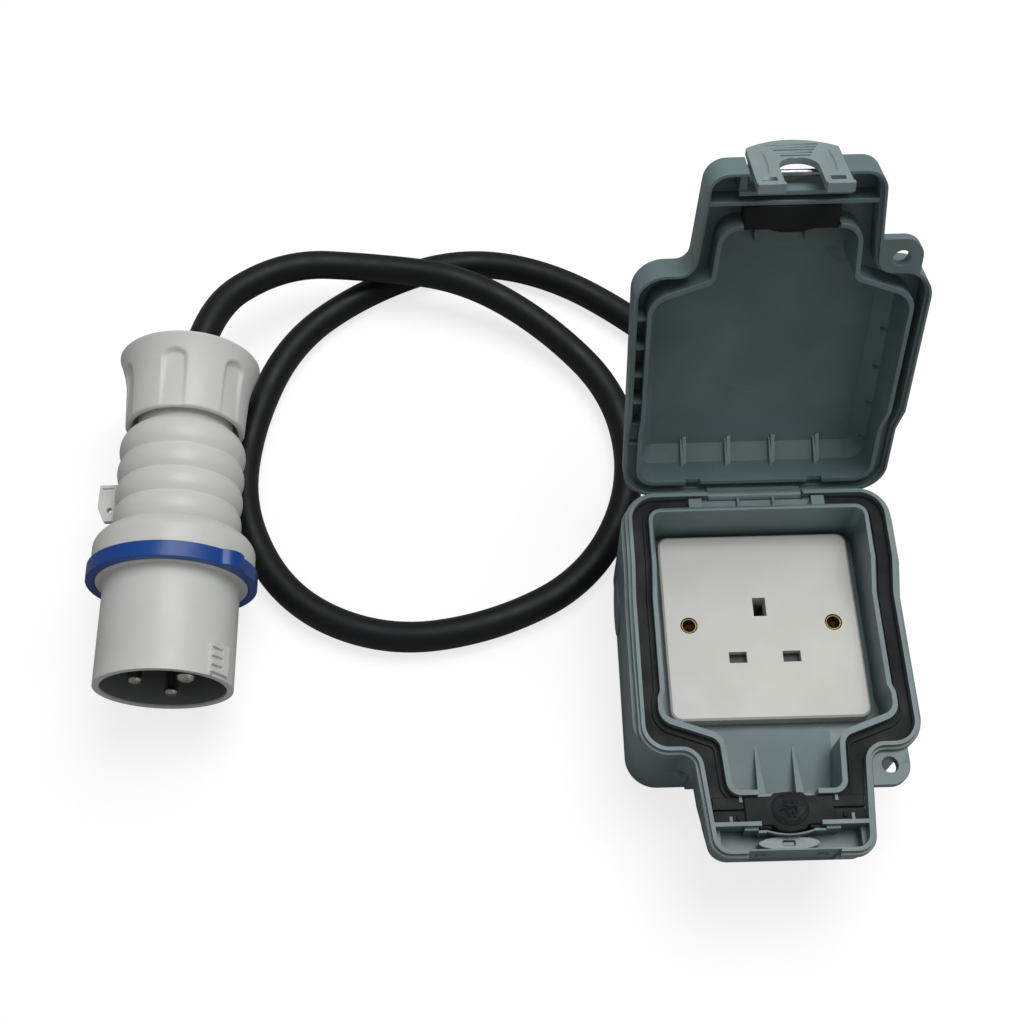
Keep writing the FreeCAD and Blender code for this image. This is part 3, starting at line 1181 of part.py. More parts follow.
def build_rear_cover():
    cover = block(("-moulding_half", "moulding_half"), ("-moulding_low_y", "moulding_high_y"),
                  (f"{MOULDING_LOW} - cover_thickness", MOULDING_LOW))
    holes = [rod("contact_stem + contact_room", "0", FAR, (x, y)) for name, x, y, half_x, half_y in contact_sites()]
    piece("socket_rear_cover", cut(cover, *holes))


def build_contacts():
    low = f"{MOULDING_LOW} + shutter_gap"
    screws = []
    for name, x, y, half_x, half_y in contact_sites():
        is_earth = name == "earth"
        grip = f"{half_x if is_earth else half_y} - contact_grip"
        width = f"{half_y if is_earth else half_x} - contact_room"
        leaves = []
        for sign in ("", "-"):
            near = f"{sign}({grip})" if not sign else f"-({grip} + contact_leaf)"
            far = f"({grip} + contact_leaf)" if not sign else f"-({grip})"
            if is_earth:
                leaves.append(block((f"{x} + {near}", f"{x} + {far}"), (f"{y} - ({width})", f"{y} + {width}"),
                                    (low, f"{low} + contact_height")))
            else:
                leaves.append(block((f"{x} - ({width})", f"{x} + {width}"), (f"{y} + {near}", f"{y} + {far}"),
                                    (low, f"{low} + contact_height")))
        reach_x = f"{grip} + contact_leaf" if is_earth else width
        reach_y = width if is_earth else f"{grip} + contact_leaf"
        base = block((f"{x} - ({reach_x})", f"{x} + {reach_x}"), (f"{y} - ({reach_y})", f"{y} + {reach_y}"),
                     (low, f"{low} + contact_base"))
        terminal_top = f"{MOULDING_LOW} - cover_thickness - shutter_gap"
        stem = rod("contact_stem", f"{terminal_top} - 1", f"{low} + 1", (x, y))
        terminal = block((f"{x} - terminal_half", f"{x} + terminal_half"),
                         (f"{y} - terminal_half", f"{y} + terminal_half"), ("terminal_low", terminal_top))
        hole = rod("terminal_screw_radius + screw_fit", "terminal_low - 1", "terminal_low + terminal_hole", (x, y))
        piece(f"{name}_contact", cut(join(base, stem, terminal, *leaves), hole))
        screws.append(join(
            rod("terminal_screw_radius", "terminal_low - terminal_screw_low",
                "terminal_low + terminal_screw_end", (x, y)),
            rod("terminal_screw_head", "terminal_low - terminal_screw_low",
                "terminal_low - terminal_screw_high", (x, y))))
    piece("terminal_screws", group(*screws))


# Cable gland in the hinge side wall

def hexagon(flats):
    """Corners of a hexagon in the XZ plane round the gland's axis, flats up and down."""
    return [(f"{flats}/cos(30)*cos({angle})", f"gland_z + {flats}/cos(30)*sin({angle})")
            for angle in range(0, -360, -60)]


def gland_rod(radius, low, high):
    """Cylinder on the gland's axis, measured from the outer wall face."""
    return rod(radius, f"box_hinge + {low}", f"box_hinge + {high}", ("0", "gland_z"), axis="Y")


def gland_placement():
    """Axis along Y from the outer wall face."""
    return Placement(Vector(0, size("box_hinge"), size("gland_z")), Rotation(Vector(1, 0, 0), -90))


def build_gland():
    spigot_end = "gland_hex + gland_spigot"
    body = join(
        gland_rod("thread_radius", "(-gland_inner_end)", spigot_end),
        prism(hexagon("gland_flats"), "box_hinge", "box_hinge + gland_hex", plane="XZ"))
    piece("gland_body", cut(body, gland_rod("gland_bore", "(-gland_inner_end - 1)", f"{spigot_end} + 1")))
    nut = prism(hexagon("locknut_flats"), "box_hinge - box_wall - locknut_depth", "box_hinge - box_wall",
                plane="XZ")
    piece("gland_locknut", cut(nut, gland_rod("thread_radius + thread_gap", "(-gland_inner_end)", "0")))
    turned("gland_seal", tube_profile(
        "cable_radius - seal_grip", "gland_bore - seal_radial_gap",
        "gland_seal_start", "gland_seal_start + gland_seal_length"), gland_placement())
    start = "gland_hex + thread_gap"
    turned("gland_cap", [
        ("thread_radius + thread_gap", start), ("gland_cap_radius", start),
        ("gland_cap_radius", f"{start} + gland_cap*0.7"), ("gland_cap_nose", f"{start} + gland_cap"),
        ("cable_radius + gland_mouth_gap", f"{start} + gland_cap"),
        ("cable_radius + gland_mouth_gap", f"{start} + gland_cap*0.7"),
        ("thread_radius + thread_gap", f"{start} + gland_cap*0.55"),
    ], gland_placement())


# Cable and cores: straight runs joined by tangent arcs

def smooth_path(points):
    """Wire of straight runs and arcs; each arc takes 0.45 of the shorter run beside it."""
    edges = []
    radii = []
    start = points[0]
    for before, corner, after in zip(points, points[1:], points[2:]):
        inward = (corner - before).normalize()
        outward = (after - corner).normalize()
        half_turn = inward.getAngle(outward) / 2
        reach = 0.45 * min((corner - before).Length, (after - corner).Length)
        radius = reach / math.tan(half_turn)
        entry = corner - inward * reach
        leave = corner + outward * reach
        bisector = (outward - inward).normalize()
        middle = corner + bisector * (radius / math.cos(half_turn) - radius)
        edges.append(Part.LineSegment(start, entry).toShape())
        edges.append(Part.Arc(entry, middle, leave).toShape())
        start = leave
        radii.append(radius)
    edges.append(Part.LineSegment(start, points[-1]).toShape())
    return Part.Wire(edges), radii


def tube(node, points, radius, placement=None):
    """Round solid along a smooth path; prints how it was bent."""
    path, radii = smooth_path(points)
    direction = points[1] - points[0]
    ring = Part.Wire([Part.makeCircle(radius, points[0], direction)])
    solid = path.makePipeShell([ring], True, False)
    feature = doc.addObject("Part::Feature", node)
    feature.Shape = solid
    piece(node, feature, placement)
    expected = math.pi * radius ** 2 * path.Length
    print(f"{node}: length {path.Length:.1f}, volume ratio {solid.Volume / expected:.4f},",
          "radii", [round(value, 1) for value in radii])


def plug_placement():
    """The plug lies on its ring, mouth towards the viewer and a little down."""
    tilt = size("plug_tilt")
    height = size("ring_radius") * math.cos(math.radians(tilt)) + size("plug_lift")
    turn = Rotation(Vector(0, 0, 1), size("plug_yaw")) * Rotation(Vector(1, 0, 0), 90 + tilt)
    return Placement(Vector(size("plug_x"), size("plug_y"), height), turn)


def build_cable():
    start = Vector(0, size("box_hinge") - size("box_wall") + 0.5, size("gland_z"))
    seat = plug_placement()
    bend = seat.multVec(Vector(0, 0, -size("cord_end") - size("cord_bend")))
    end = seat.multVec(Vector(0, 0, -size("cord_end")))
    points = [start] + [Vector(*point) for point in CABLE_ROUTE] + [bend, end]
    tube("cable", points, size("cable_radius"))


def build_box_cores():
    start_y = size("box_hinge") - size("box_wall") + 0.5
    gland_z = size("gland_z")
    low = size("core_height")
    offset = size("core_lay")
    face = size("terminal_half")
    for name, side, spot_x, spot_y in (
            ("line", 1, size("pin_spacing"), -size("line_y")),
            ("neutral", -1, -size("pin_spacing"), -size("line_y")),
            ("earth", 0, 0, size("earth_y"))):
        x = side * offset
        z = gland_z + (1 if side else -1) * offset / 2
        bend_y = start_y - size("core_straight")
        points = [Vector(x, start_y, z), Vector(x, bend_y, z),
                  Vector(spot_x, bend_y - size("core_slope"), low), Vector(spot_x, spot_y + face, low)]
        tube(f"{name}_core", points, size("core_radius"))


# Industrial plug, along its own axis

def polar(radius, angle):
    """Place on a circle as a pair of expressions."""
    return f"{radius}*cos({angle})", f"{radius}*sin({angle})"


def pin_sites():
    """Node prefix, angle and radius of each pin."""
    return [("earth", "earth_pin_angle", "earth_pin_radius"), ("line", "earth_pin_angle + 120", "pin_radius"),
            ("neutral", "earth_pin_angle - 120", "pin_radius")]


def spun(feature, angle):
    """Turns a feature about the plug's axis."""
    feature.Placement = Placement(Vector(), Rotation(Vector(0, 0, 1), angle))
    return feature


def unlisted(body):
    """Takes a turned body back off the list, because it is only part of a piece."""
    pieces.remove(body)
    return body


def build_plug_shroud():
    seat = "ring_radius - ring_face - ring_gap"
    spigot = "collar_radius - ring_face - ring_gap"
    inner = "shroud_radius - shroud_wall"
    shell = unlisted(turned("shroud_shell", [
        (inner, "-collar_end + 5"), (spigot, "-collar_end + 5"), (spigot, "-ring_width - ring_gap"),
        (seat, "-ring_width - ring_gap"), (seat, "0"), ("shroud_radius", "0"),
        ("shroud_radius", "shroud_length"), (inner, "shroud_length"),
    ]))
    key = spun(group(block(("shroud_radius - 1", "shroud_radius + key_rise"), ("-key_half", "key_half"),
                           ("key_start", "key_end"))), size("key_angle"))
    slots = []
    for step in range(3):
        middle = f"key_start + key_slot_first + key_slot_pitch*{step}"
        slots.append(block(("shroud_radius + key_slot_floor", "shroud_radius + key_rise + 1"),
                           ("key_half - key_slot_reach", "key_half + 1"),
                           (f"{middle} - key_slot/2", f"{middle} + key_slot/2")))
    piece("plug_shroud", cut(join(shell, key), spun(group(*slots), size("key_angle"))), plug_placement())


def build_colour_ring():
    ring = unlisted(turned("ring_band", tube_profile(
        "ring_radius - ring_face", "ring_radius", "-ring_width", "0")))
    bump = cut(
        rod("ring_bump", "-ring_width", "0", polar("(ring_radius + bump_rise - ring_bump)", "ring_bump_angle")),
        rod("ring_radius - ring_face", "-ring_width - 1", "1"))
    piece("colour_ring", join(ring, bump), plug_placement())


def build_pin_carrier():
    disc = unlisted(turned("carrier_disc", [
        ("0", "carrier_face - carrier_depth"),
        ("shroud_radius - shroud_wall - carrier_gap", "carrier_face - carrier_depth"),
        ("shroud_radius - shroud_wall - carrier_gap", "carrier_face"), ("0", "carrier_face")]))
    holes = [rod(f"{radius} + pin_fit", "-pin_tail", "shroud_length", polar("pin_circle", f"({angle})"))
             for name, angle, radius in pin_sites()]
    piece("pin_carrier", cut(disc, *holes), plug_placement())


def build_pins():
    screws = []
    screw_z = "carrier_face - carrier_depth - carrier_screw"
    for name, angle, radius in pin_sites():
        post = unlisted(turned("pin_post", [
            ("0", "-pin_tail"), (radius, "-pin_tail"), (radius, f"pin_tip - {radius}*0.6"),
            (f"{radius}*0.82", f"pin_tip - {radius}*0.2"), (f"{radius}*0.45", "pin_tip"), ("0", "pin_tip")]))
        turn = size("earth_pin_angle") + {"earth": 0, "line": 120, "neutral": -120}[name]
        hole = rod("terminal_screw_radius + screw_fit", "0", "earth_pin_radius + 5", ("0", screw_z), axis="X")
        spot = Placement(Rotation(Vector(0, 0, 1), turn).multVec(Vector(size("pin_circle"), 0, 0)),
                         Rotation(Vector(0, 0, 1), turn))
        piece(f"plug_{name}_pin", cut(post, hole), plug_placement() * spot)
        screw = join(rod("terminal_screw_radius", "0.5", f"{radius} + 1.5", ("0", screw_z), axis="X"),
                     rod("terminal_screw_head", f"{radius} + 0.3", f"{radius} + 2.3", ("0", screw_z), axis="X"))
        screw.Placement = spot
        screws.append(screw)
    piece("plug_terminal_screws", group(*screws), plug_placement())


def build_plug_body():
    front = "-ring_width - 2*ring_gap"
    shell = unlisted(turned("body_core", [
        ("0", front), ("collar_radius", front), ("collar_radius", "-collar_end"),
        ("shoulder_radius", "-shoulder_end"), ("body_trough", "-shoulder_end - 0.5"),
        ("body_trough", "neck_lead - body_neck_start"), ("body_neck_radius", "-body_neck_start"),
        ("body_neck_radius", "-body_neck_end"), ("0", "-body_neck_end")]))
    ribs = []
    for step in range(4):
        ring = doc.addObject("Part::Torus", "Rib")
        bind(ring, Radius1="rib_crest - rib_round", Radius2="rib_round",
             Placement__Base__z=f"-(rib_first + {step}*rib_pitch)")
        ribs.append(ring)
    root = "-(body_trough - body_wall/2)"
    plate = prism([
        (root, "-tab_front"), ("tab_corner - tab_reach", "-tab_front"),
        ("-tab_reach", "-(tab_front + tab_slope)"), ("-tab_reach", "-tab_back"), (root, "-tab_back"),
    ], "-tab_half", "tab_half", plane="XZ")
    recess = block(("tab_bar - tab_reach", "-(rib_crest + tab_bar)"), ("tab_half - tab_recess", "tab_half + 1"),
                   ("tab_bar - tab_back", "-(tab_front + tab_slope)"))
    hole = rod("tab_hole", "-tab_half - 1", "tab_half + 1",
               ("-(rib_crest + tab_bar + tab_hole)", "tab_slope/2 - (tab_front + tab_back)/2"), axis="Y")
    tab = cut(plate, recess, hole)
    spigot = "collar_radius - ring_face"
    room = unlisted(turned("body_room", [
        ("0", f"{front} + 1"), (spigot, f"{front} + 1"), (spigot, "-collar_end + 4.6"),
        ("body_trough - body_wall", "-shoulder_end - 2"),
        ("body_trough - body_wall", "neck_lead - body_neck_start"),
        ("body_neck_radius - body_wall", "-body_neck_start"),
        ("body_neck_radius - body_wall", "-body_neck_end - 1"), ("0", "-body_neck_end - 1")]))
    piece("plug_body", cut(join(shell, *ribs, tab), room), plug_placement())


def build_plug_nut():
    inside = "body_neck_radius + nut_gap"
    shell = unlisted(turned("nut_shell", [
        ("nut_throat", "-nut_start"), ("nut_radius", "-nut_start"),
        ("nut_radius + nut_draft", "-(nut_start + nut_grip)"),
        ("nut_waist", "-nut_waist_at"), ("nut_flare", "-nut_end"), ("cable_radius + nut_mouth_gap", "-nut_end"),
        ("cable_radius + nut_mouth_gap", "nut_web - nut_end"), ("body_neck_radius - body_wall", "nut_web - nut_end"),
        ("body_neck_radius - body_wall", "-body_neck_end - nut_gap"), (inside, "-body_neck_end - nut_gap"),
        (inside, "-nut_throat_end"), ("nut_throat", "-nut_throat_end")]))
    count = int(size("flute_count"))
    flutes = [spun(group(block(("flute_radius", "nut_flare + 5"), ("-flute_half", "flute_half"),
                               ("-flute_end", "1 - nut_start"))), 30 + 360 * step / count)
              for step in range(count)]
    piece("plug_cable_nut", cut(shell, *flutes), plug_placement())
    back = "nut_web - nut_end + plug_seal_gap"
    clamp_back = f"{back} + plug_seal_length + plug_seal_gap"
    turned("plug_seal", tube_profile("cable_radius - seal_grip", "body_neck_radius - body_wall - 2",
                                     back, f"{back} + plug_seal_length"), plug_placement())
    turned("plug_cord_clamp", tube_profile("cable_radius + seal_radial_gap",
                                           "body_neck_radius - body_wall - plug_seal_gap",
                                           clamp_back, f"{clamp_back} + clamp_length"), plug_placement())


def build_plug_cores():
    near = size("core_lay")
    far = size("pin_circle")
    end = size("cord_end")
    tail = size("pin_tail")
    bends = ((near, -end), (near, size("core_straight") - end), (far, -tail - size("core_stub")), (far, -tail))
    for name, shift in (("earth", 0), ("line", 120), ("neutral", -120)):
        angle = math.radians(size("earth_pin_angle") + shift)
        points = [Vector(radius * math.cos(angle), radius * math.sin(angle), along) for radius, along in bends]
        tube(f"plug_{name}_core", points, size("core_radius"), plug_placement())


def main():
    build_back_box()
    build_front_frame()
    build_frame_screws()
    build_hinge_pins()
    build_rim_gaskets()
    build_base_neck_seal()
    build_latch_keeper()
    build_lid_shell()
    build_lid_neck_seal()
    build_latch()
    build_socket_plate()
    build_plate_screws()
    build_socket_moulding()
    build_shutter()
    build_rear_cover()
    build_contacts()
    build_gland()
    build_box_cores()
    build_plug_shroud()
    build_colour_ring()
    build_pin_carrier()
    build_pins()
    build_plug_body()
    build_plug_nut()
    build_plug_cores()
    build_cable()
    doc.recompute()
    for item in doc.Objects:
        if "Invalid" in item.State or "Error" in item.State:
            raise RuntimeError(f"{item.Label} failed: {item.State}")
    os.makedirs("parts", exist_ok=True)
    for feature in pieces:
        shape = feature.Shape
        if shape.isNull() or not shape.isValid() or not shape.Solids:
            raise RuntimeError(f"{feature.Label} has no valid solid")
        shape.exportStep(f"parts/{feature.Label}.step")
        box = shape.BoundBox
        print(f"{feature.Label:22s} solids {len(shape.Solids)} volume {shape.Volume:10.1f}",
              f"x {box.XMin:.1f} {box.XMax:.1f} y {box.YMin:.1f} {box.YMax:.1f} z {box.ZMin:.1f} {box.ZMax:.1f}")


main()
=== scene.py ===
import math

import bmesh
import bpy
from mathutils import Matrix, Vector, noise


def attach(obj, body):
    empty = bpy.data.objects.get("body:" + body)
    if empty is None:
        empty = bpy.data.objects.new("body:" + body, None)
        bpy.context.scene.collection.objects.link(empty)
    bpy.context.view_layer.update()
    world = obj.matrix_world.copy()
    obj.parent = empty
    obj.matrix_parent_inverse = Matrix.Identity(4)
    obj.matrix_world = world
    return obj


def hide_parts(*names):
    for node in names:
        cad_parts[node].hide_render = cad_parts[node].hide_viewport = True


# Weatherproof socket box, its rubber flex and its round industrial plug, dressed round the
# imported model. The box lies on its back, X to the right, Y towards the lid hinge and Z up.

bl_info = {
    "name": "Socket Adapter Lead",
    "version": (1, 0, 0),
    "blender": (4, 5, 0),
    "location": "3D View > Sidebar > Adapter Lead",
    "description": "Builds a weatherproof socket box with a short flex and a round plug",
    "category": "Add Mesh",
}

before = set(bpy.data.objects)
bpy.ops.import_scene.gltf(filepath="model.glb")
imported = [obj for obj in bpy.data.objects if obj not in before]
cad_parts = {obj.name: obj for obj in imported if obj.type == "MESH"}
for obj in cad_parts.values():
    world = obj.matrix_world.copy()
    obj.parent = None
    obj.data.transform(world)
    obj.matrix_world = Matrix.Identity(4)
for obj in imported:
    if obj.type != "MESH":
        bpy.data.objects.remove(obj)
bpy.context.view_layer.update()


# Sizes and colours that a user may change

def colour(label, default, text):
    """A colour setting, given as it shows on screen."""
    return bpy.props.FloatVectorProperty(
        name=label, description=text, default=default, size=3, min=0.0, max=1.0,
        subtype="COLOR_GAMMA")


def length(label, default, text):
    """A length setting in metres."""
    return bpy.props.FloatProperty(
        name=label, description=text, default=default, min=0.0, precision=5,
        subtype="DISTANCE", unit="LENGTH")


class LeadColours(bpy.types.PropertyGroup):
    enclosure: colour("Enclosure", (0.425, 0.500, 0.508), "Frame, lid and back box")
    # The latch colour also paints the highlight on the crests of the lid's gussets
    latch: colour("Latch", (0.540, 0.600, 0.610), "Latch of the lid")
    rubber: colour("Rubber", (0.050, 0.062, 0.070), "Gasket and seals")
    keeper: colour("Keeper", (0.500, 0.560, 0.570), "Clear boss under the latch")
    plate: colour("Plate", (0.840, 0.840, 0.815), "Socket plate")
    sheath: colour("Sheath", (0.035, 0.047, 0.057), "Rubber sheath of the flex")
    gland: colour("Gland", (0.130, 0.135, 0.145), "Cable gland")
    plug: colour("Plug", (0.850, 0.855, 0.835), "Housing of the round plug")
    ring: colour("Ring", (0.040, 0.270, 0.590), "Coloured ring of the plug")
    # The carrier colour also paints the shade inside the plug's mouth
    carrier: colour("Carrier", (0.420, 0.450, 0.440), "Carrier of the pins")
    brass: colour("Brass", (0.560, 0.460, 0.270), "Contacts and plate screws")
    steel: colour("Steel", (0.700, 0.710, 0.720), "Zinc plated screws and pins")
    nickel: colour("Nickel", (0.820, 0.810, 0.780), "Pins of the round plug")
    floor: colour("Floor", (0.620, 0.620, 0.620), "Floor of the studio")


class LeadSizes(bpy.types.PropertyGroup):
    edge: length("Moulded edge", 0.00035, "Rounding on the edges of the mouldings")
    fine_edge: length("Fine edge", 0.0002, "Rounding on small pieces and metal")
    flex_diameter: length("Flex diameter", 0.0138, "Diameter of the rubber flex")


class StudioSettings(bpy.types.PropertyGroup):
    focal: bpy.props.FloatProperty(
        name="Focal length", description="Camera lens on a 36 mm sensor", default=45.703,
        min=1.0, subtype="DISTANCE_CAMERA", unit="CAMERA")
    elevation: bpy.props.FloatProperty(
        name="Elevation", description="How steeply the camera looks down",
        default=math.radians(63.14), subtype="ANGLE", unit="ROTATION")
    roll: bpy.props.FloatProperty(
        name="Roll", description="Turn of the picture", default=math.radians(-1.491),
        subtype="ANGLE", unit="ROTATION")
    place: bpy.props.FloatVectorProperty(
        name="Place", description="Where the camera stands",
        default=(-0.1027, -0.2010, 0.54796), size=3, subtype="TRANSLATION", unit="LENGTH")
    key_power: bpy.props.FloatProperty(
        name="Key light", description="Power of the large lamp", default=14.8, min=0.0,
        subtype="POWER", unit="POWER")
    fill_power: bpy.props.FloatProperty(
        name="Fill light", description="Power of the lamp on the other side", default=0.8,
        min=0.0, subtype="POWER", unit="POWER")
    room_light: bpy.props.FloatProperty(
        name="Room light", description="Even light from all round", default=0.25, min=0.0)


# Shades and finishes

def linear(shade):
    """Turns a colour as it shows on screen into scene light."""
    return tuple(c / 12.92 if c <= 0.04045 else ((c + 0.055) / 1.055) ** 2.4 for c in shade)


class Finish:
    """One procedural material, its pattern in metres of the object."""

    def __init__(self, name):
        self.material = bpy.data.materials.new(name)
        self.material.use_nodes = True
        self.tree = self.material.node_tree
        self.shader = self.tree.nodes["Principled BSDF"]
        self.place = self.add("ShaderNodeTexCoord").outputs["Object"]

    def add(self, kind, **values):
        node = self.tree.nodes.new(kind)
        for key, value in values.items():
            setattr(node, key, value)
        return node

    def join(self, source, target):
        self.tree.links.new(source, target)

    def noise(self, scale, detail=2.0, stretch=None):
        """A noise of so many cells to the metre, drawn out along an axis if asked."""
        node = self.add("ShaderNodeTexNoise")
        node.inputs["Scale"].default_value = scale
        node.inputs["Detail"].default_value = detail
        if stretch is None:
            self.join(self.place, node.inputs["Vector"])
        else:
            mapping = self.add("ShaderNodeMapping")
            mapping.inputs["Scale"].default_value = stretch
            self.join(self.place, mapping.inputs["Vector"])
            self.join(mapping.outputs["Vector"], node.inputs["Vector"])
        return node.outputs["Fac"]

    def ramp(self, factor, low, high, dark, light):
        """Spreads a factor between two numbers."""
        node = self.add("ShaderNodeMapRange")
        node.inputs["From Min"].default_value = low
        node.inputs["From Max"].default_value = high
        node.inputs["To Min"].default_value = dark
        node.inputs["To Max"].default_value = light
        self.join(factor, node.inputs["Value"])
        return node.outputs["Result"]

    def shade(self, base, factor, other):
        """Mixes two shades by a factor into the base colour."""
        node = self.add("ShaderNodeMix", data_type="RGBA")
        colours = [s for s in node.inputs if s.type == "RGBA"]
        colours[1].default_value = (*linear(other), 1.0)
        if isinstance(base, bpy.types.NodeSocket):
            self.join(base, colours[0])
        else:
            colours[0].default_value = (*linear(base), 1.0)
        self.join(factor, node.inputs["Factor"])
        result = next(s for s in node.outputs if s.type == "RGBA")
        self.join(result, self.shader.inputs["Base Color"])
        return result

    def bump(self, height, depth, strength=1.0, below=None):
        """Raises the surface by a height, in metres."""
        node = self.add("ShaderNodeBump")
        node.inputs["Strength"].default_value = strength
        node.inputs["Distance"].default_value = depth
        self.join(height, node.inputs["Height"])
        if below is not None:
            self.join(below, node.inputs["Normal"])
        self.join(node.outputs["Normal"], self.shader.inputs["Normal"])
        return node.outputs["Normal"]

    def set(self, **values):
        for key, value in values.items():
            self.shader.inputs[key.replace("_", " ")].default_value = value


def tinted(shade, amount):
    """A shade made lighter or darker by an amount."""
    return tuple(min(1.0, max(0.0, c * (1.0 + amount))) for c in shade)


def moulded_finish(name, shade, rough=0.42, grain=2200.0, depth=0.00004, mottling=0.05):
    """Satin moulded plastic: fine eroded grain, faint flow marks and a little dust."""
    finish = Finish(name)
    flow = finish.ramp(finish.noise(28.0, 3.0), 0.35, 0.68, 0.0, 1.0)
    clouds = finish.shade(tinted(shade, -mottling), flow, tinted(shade, mottling))
    specks = finish.ramp(finish.noise(900.0, 1.0), 0.66, 0.78, 0.0, 0.35)
    finish.shade(clouds, specks, tinted(shade, 4.0 * mottling))
    finish.join(
        finish.ramp(finish.noise(60.0, 4.0), 0.3, 0.7, rough - 0.06, rough + 0.08),
        finish.shader.inputs["Roughness"])
    finish.bump(finish.noise(grain, 2.0), depth, 0.5)
    return finish


def rubber_finish(name, shade, rough=0.6, grain=1500.0, depth=0.00006):
    """Matt rubber with a soft bloom and fine dust in its pores."""
    finish = Finish(name)
    bloom = finish.ramp(finish.noise(45.0, 4.0), 0.35, 0.75, 0.0, 1.0)
    base = finish.shade(tinted(shade, -0.12), bloom, tinted(shade, 0.22))
    dust = finish.ramp(finish.noise(1400.0, 1.0), 0.64, 0.80, 0.0, 0.5)
    finish.shade(base, dust, tinted(shade, 0.9))
    finish.join(
        finish.ramp(finish.noise(70.0, 3.0), 0.3, 0.7, rough - 0.08, rough + 0.1),
        finish.shader.inputs["Roughness"])
    finish.bump(finish.noise(grain, 3.0), depth, 0.6)
    finish.set(Sheen_Weight=0.08, Sheen_Roughness=0.5)
    return finish


def metal_finish(name, shade, rough, tarnish, stretch):
    """Turned or pressed metal with fine tool marks drawn out along one way."""
    finish = Finish(name)
    cloud = finish.ramp(finish.noise(160.0, 3.0), 0.35, 0.7, 0.0, 1.0)
    finish.shade(shade, cloud, tarnish)
    marks = finish.noise(1.0, 2.0, stretch)
    finish.join(
        finish.ramp(marks, 0.3, 0.7, rough - 0.08, rough + 0.1),
        finish.shader.inputs["Roughness"])
    finish.bump(marks, 0.00002, 0.5)
    finish.set(Metallic=1.0)
    return finish


def build_finishes(colours):
    """Makes the material of every slot of the record."""
    finishes = {
        "enclosure_grey": moulded_finish("enclosure_grey", colours.enclosure, 0.40),
        "latch_grey": moulded_finish("latch_grey", colours.latch, 0.38),
        "black_rubber": rubber_finish("black_rubber", colours.rubber),
        "keeper_clear": moulded_finish("keeper_clear", colours.keeper, 0.22, mottling=0.02),
        "white_plate": moulded_finish("white_plate", colours.plate, 0.44, 3000.0, 0.00002, 0.012),
        "white_moulding": moulded_finish(
            "white_moulding", tinted(colours.plate, -0.04), 0.45, mottling=0.02),
        "gland_black": moulded_finish("gland_black", colours.gland, 0.46),
        "cable_rubber": rubber_finish("cable_rubber", colours.sheath, 0.50, 1100.0),
        "core_brown": moulded_finish("core_brown", (0.36, 0.20, 0.11), 0.35),
        "core_blue": moulded_finish("core_blue", (0.15, 0.33, 0.66), 0.35),
        "core_green": moulded_finish("core_green", (0.28, 0.55, 0.20), 0.35),
        "plug_grey": moulded_finish("plug_grey", colours.plug, 0.40, 2600.0, 0.00004, 0.018),
        "ring_blue": moulded_finish("ring_blue", colours.ring, 0.36, mottling=0.03),
        "carrier_grey": moulded_finish("carrier_grey", colours.carrier, 0.5),
        "brass": metal_finish(
            "brass", colours.brass, 0.30, tinted(colours.brass, -0.3), (900.0, 900.0, 120.0)),
        "steel": metal_finish(
            "steel", colours.steel, 0.34, tinted(colours.steel, -0.2), (900.0, 900.0, 200.0)),
        "nickel": metal_finish(
            "nickel", colours.nickel, 0.16, tinted(colours.nickel, -0.2), (1200.0, 150.0, 1200.0)),
    }
    finishes["keeper_clear"].set(Transmission_Weight=0.15, IOR=1.49)
    for name in ("cable_rubber", "black_rubber"):
        finishes[name].set(Specular_IOR_Level=0.3)
    return {name: finish.material for name, finish in finishes.items()}


# Material of each slot of the record, filled when the stage is built
materials = {}

# Axis of the lid's hinge in millimetres, and how far the open lid is turned about it
HINGE = (0.0, 52.0, 57.5)
LID_ANGLE = math.radians(111.5)

# Where the mouth of the plug lies, in metres, and how the plug is turned
PLUG_PLACE = (
    Matrix.Translation((-0.2497, 0.026, 0.036103)) @ Matrix.Rotation(math.radians(0.31), 4, "Z")
    @ Matrix.Rotation(math.radians(92.21), 4, "X"))


# Pieces

def put(name, mesh, body, slot, stands_for=()):
    """Puts a finished mesh in the scene on its body and gives it its finish."""
    mesh.name = name
    mesh.materials.clear()
    mesh.materials.append(materials[slot])
    piece = bpy.data.objects.new(name, mesh)
    bpy.context.collection.objects.link(piece)
    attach(piece, body)
    if stands_for:
        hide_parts(*stands_for)
    return piece


def settled(working):
    """The mesh of a working object with its modifiers done; the working object goes."""
    depsgraph = bpy.context.evaluated_depsgraph_get()
    mesh = bpy.data.meshes.new_from_object(working.evaluated_get(depsgraph))
    bpy.data.objects.remove(working, do_unlink=True)
    return mesh


def working_object(mesh):
    """A working object that carries modifiers for a while."""
    working = bpy.data.objects.new("working", mesh)
    bpy.context.collection.objects.link(working)
    return working


# Corners closer than this, in metres, are one, and faces flatter than this angle are one face
SAME_CORNER = 2e-6
SAME_FACE = math.radians(0.5)

# A face takes the rounding of its edge if it is this many times as wide
ROOM = 2.4

# A face crosses itself if its triangles cover more than this share of its area, by this much
TORN_SHARE, TORN_AREA = 1.0001, 1e-9


def merged_copy(node):
    """A copy of a node's mesh with its corners joined and its flat faces whole."""
    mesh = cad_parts[node].data.copy()
    work = bmesh.new()
    work.from_mesh(mesh)
    bmesh.ops.remove_doubles(work, verts=work.verts, dist=SAME_CORNER)
    bmesh.ops.dissolve_limit(
        work, angle_limit=SAME_FACE, verts=work.verts, edges=work.edges)
    work.to_mesh(mesh)
    work.free()
    return mesh


def roomy(edge, width):
    """Whether both faces of an edge are wide enough to take its rounding."""
    start, end = (vert.co for vert in edge.verts)
    along = (end - start).normalized()
    reach = [max((vert.co - start).cross(along).length for vert in face.verts)
             for face in edge.link_faces]
    return min(reach) > ROOM * width


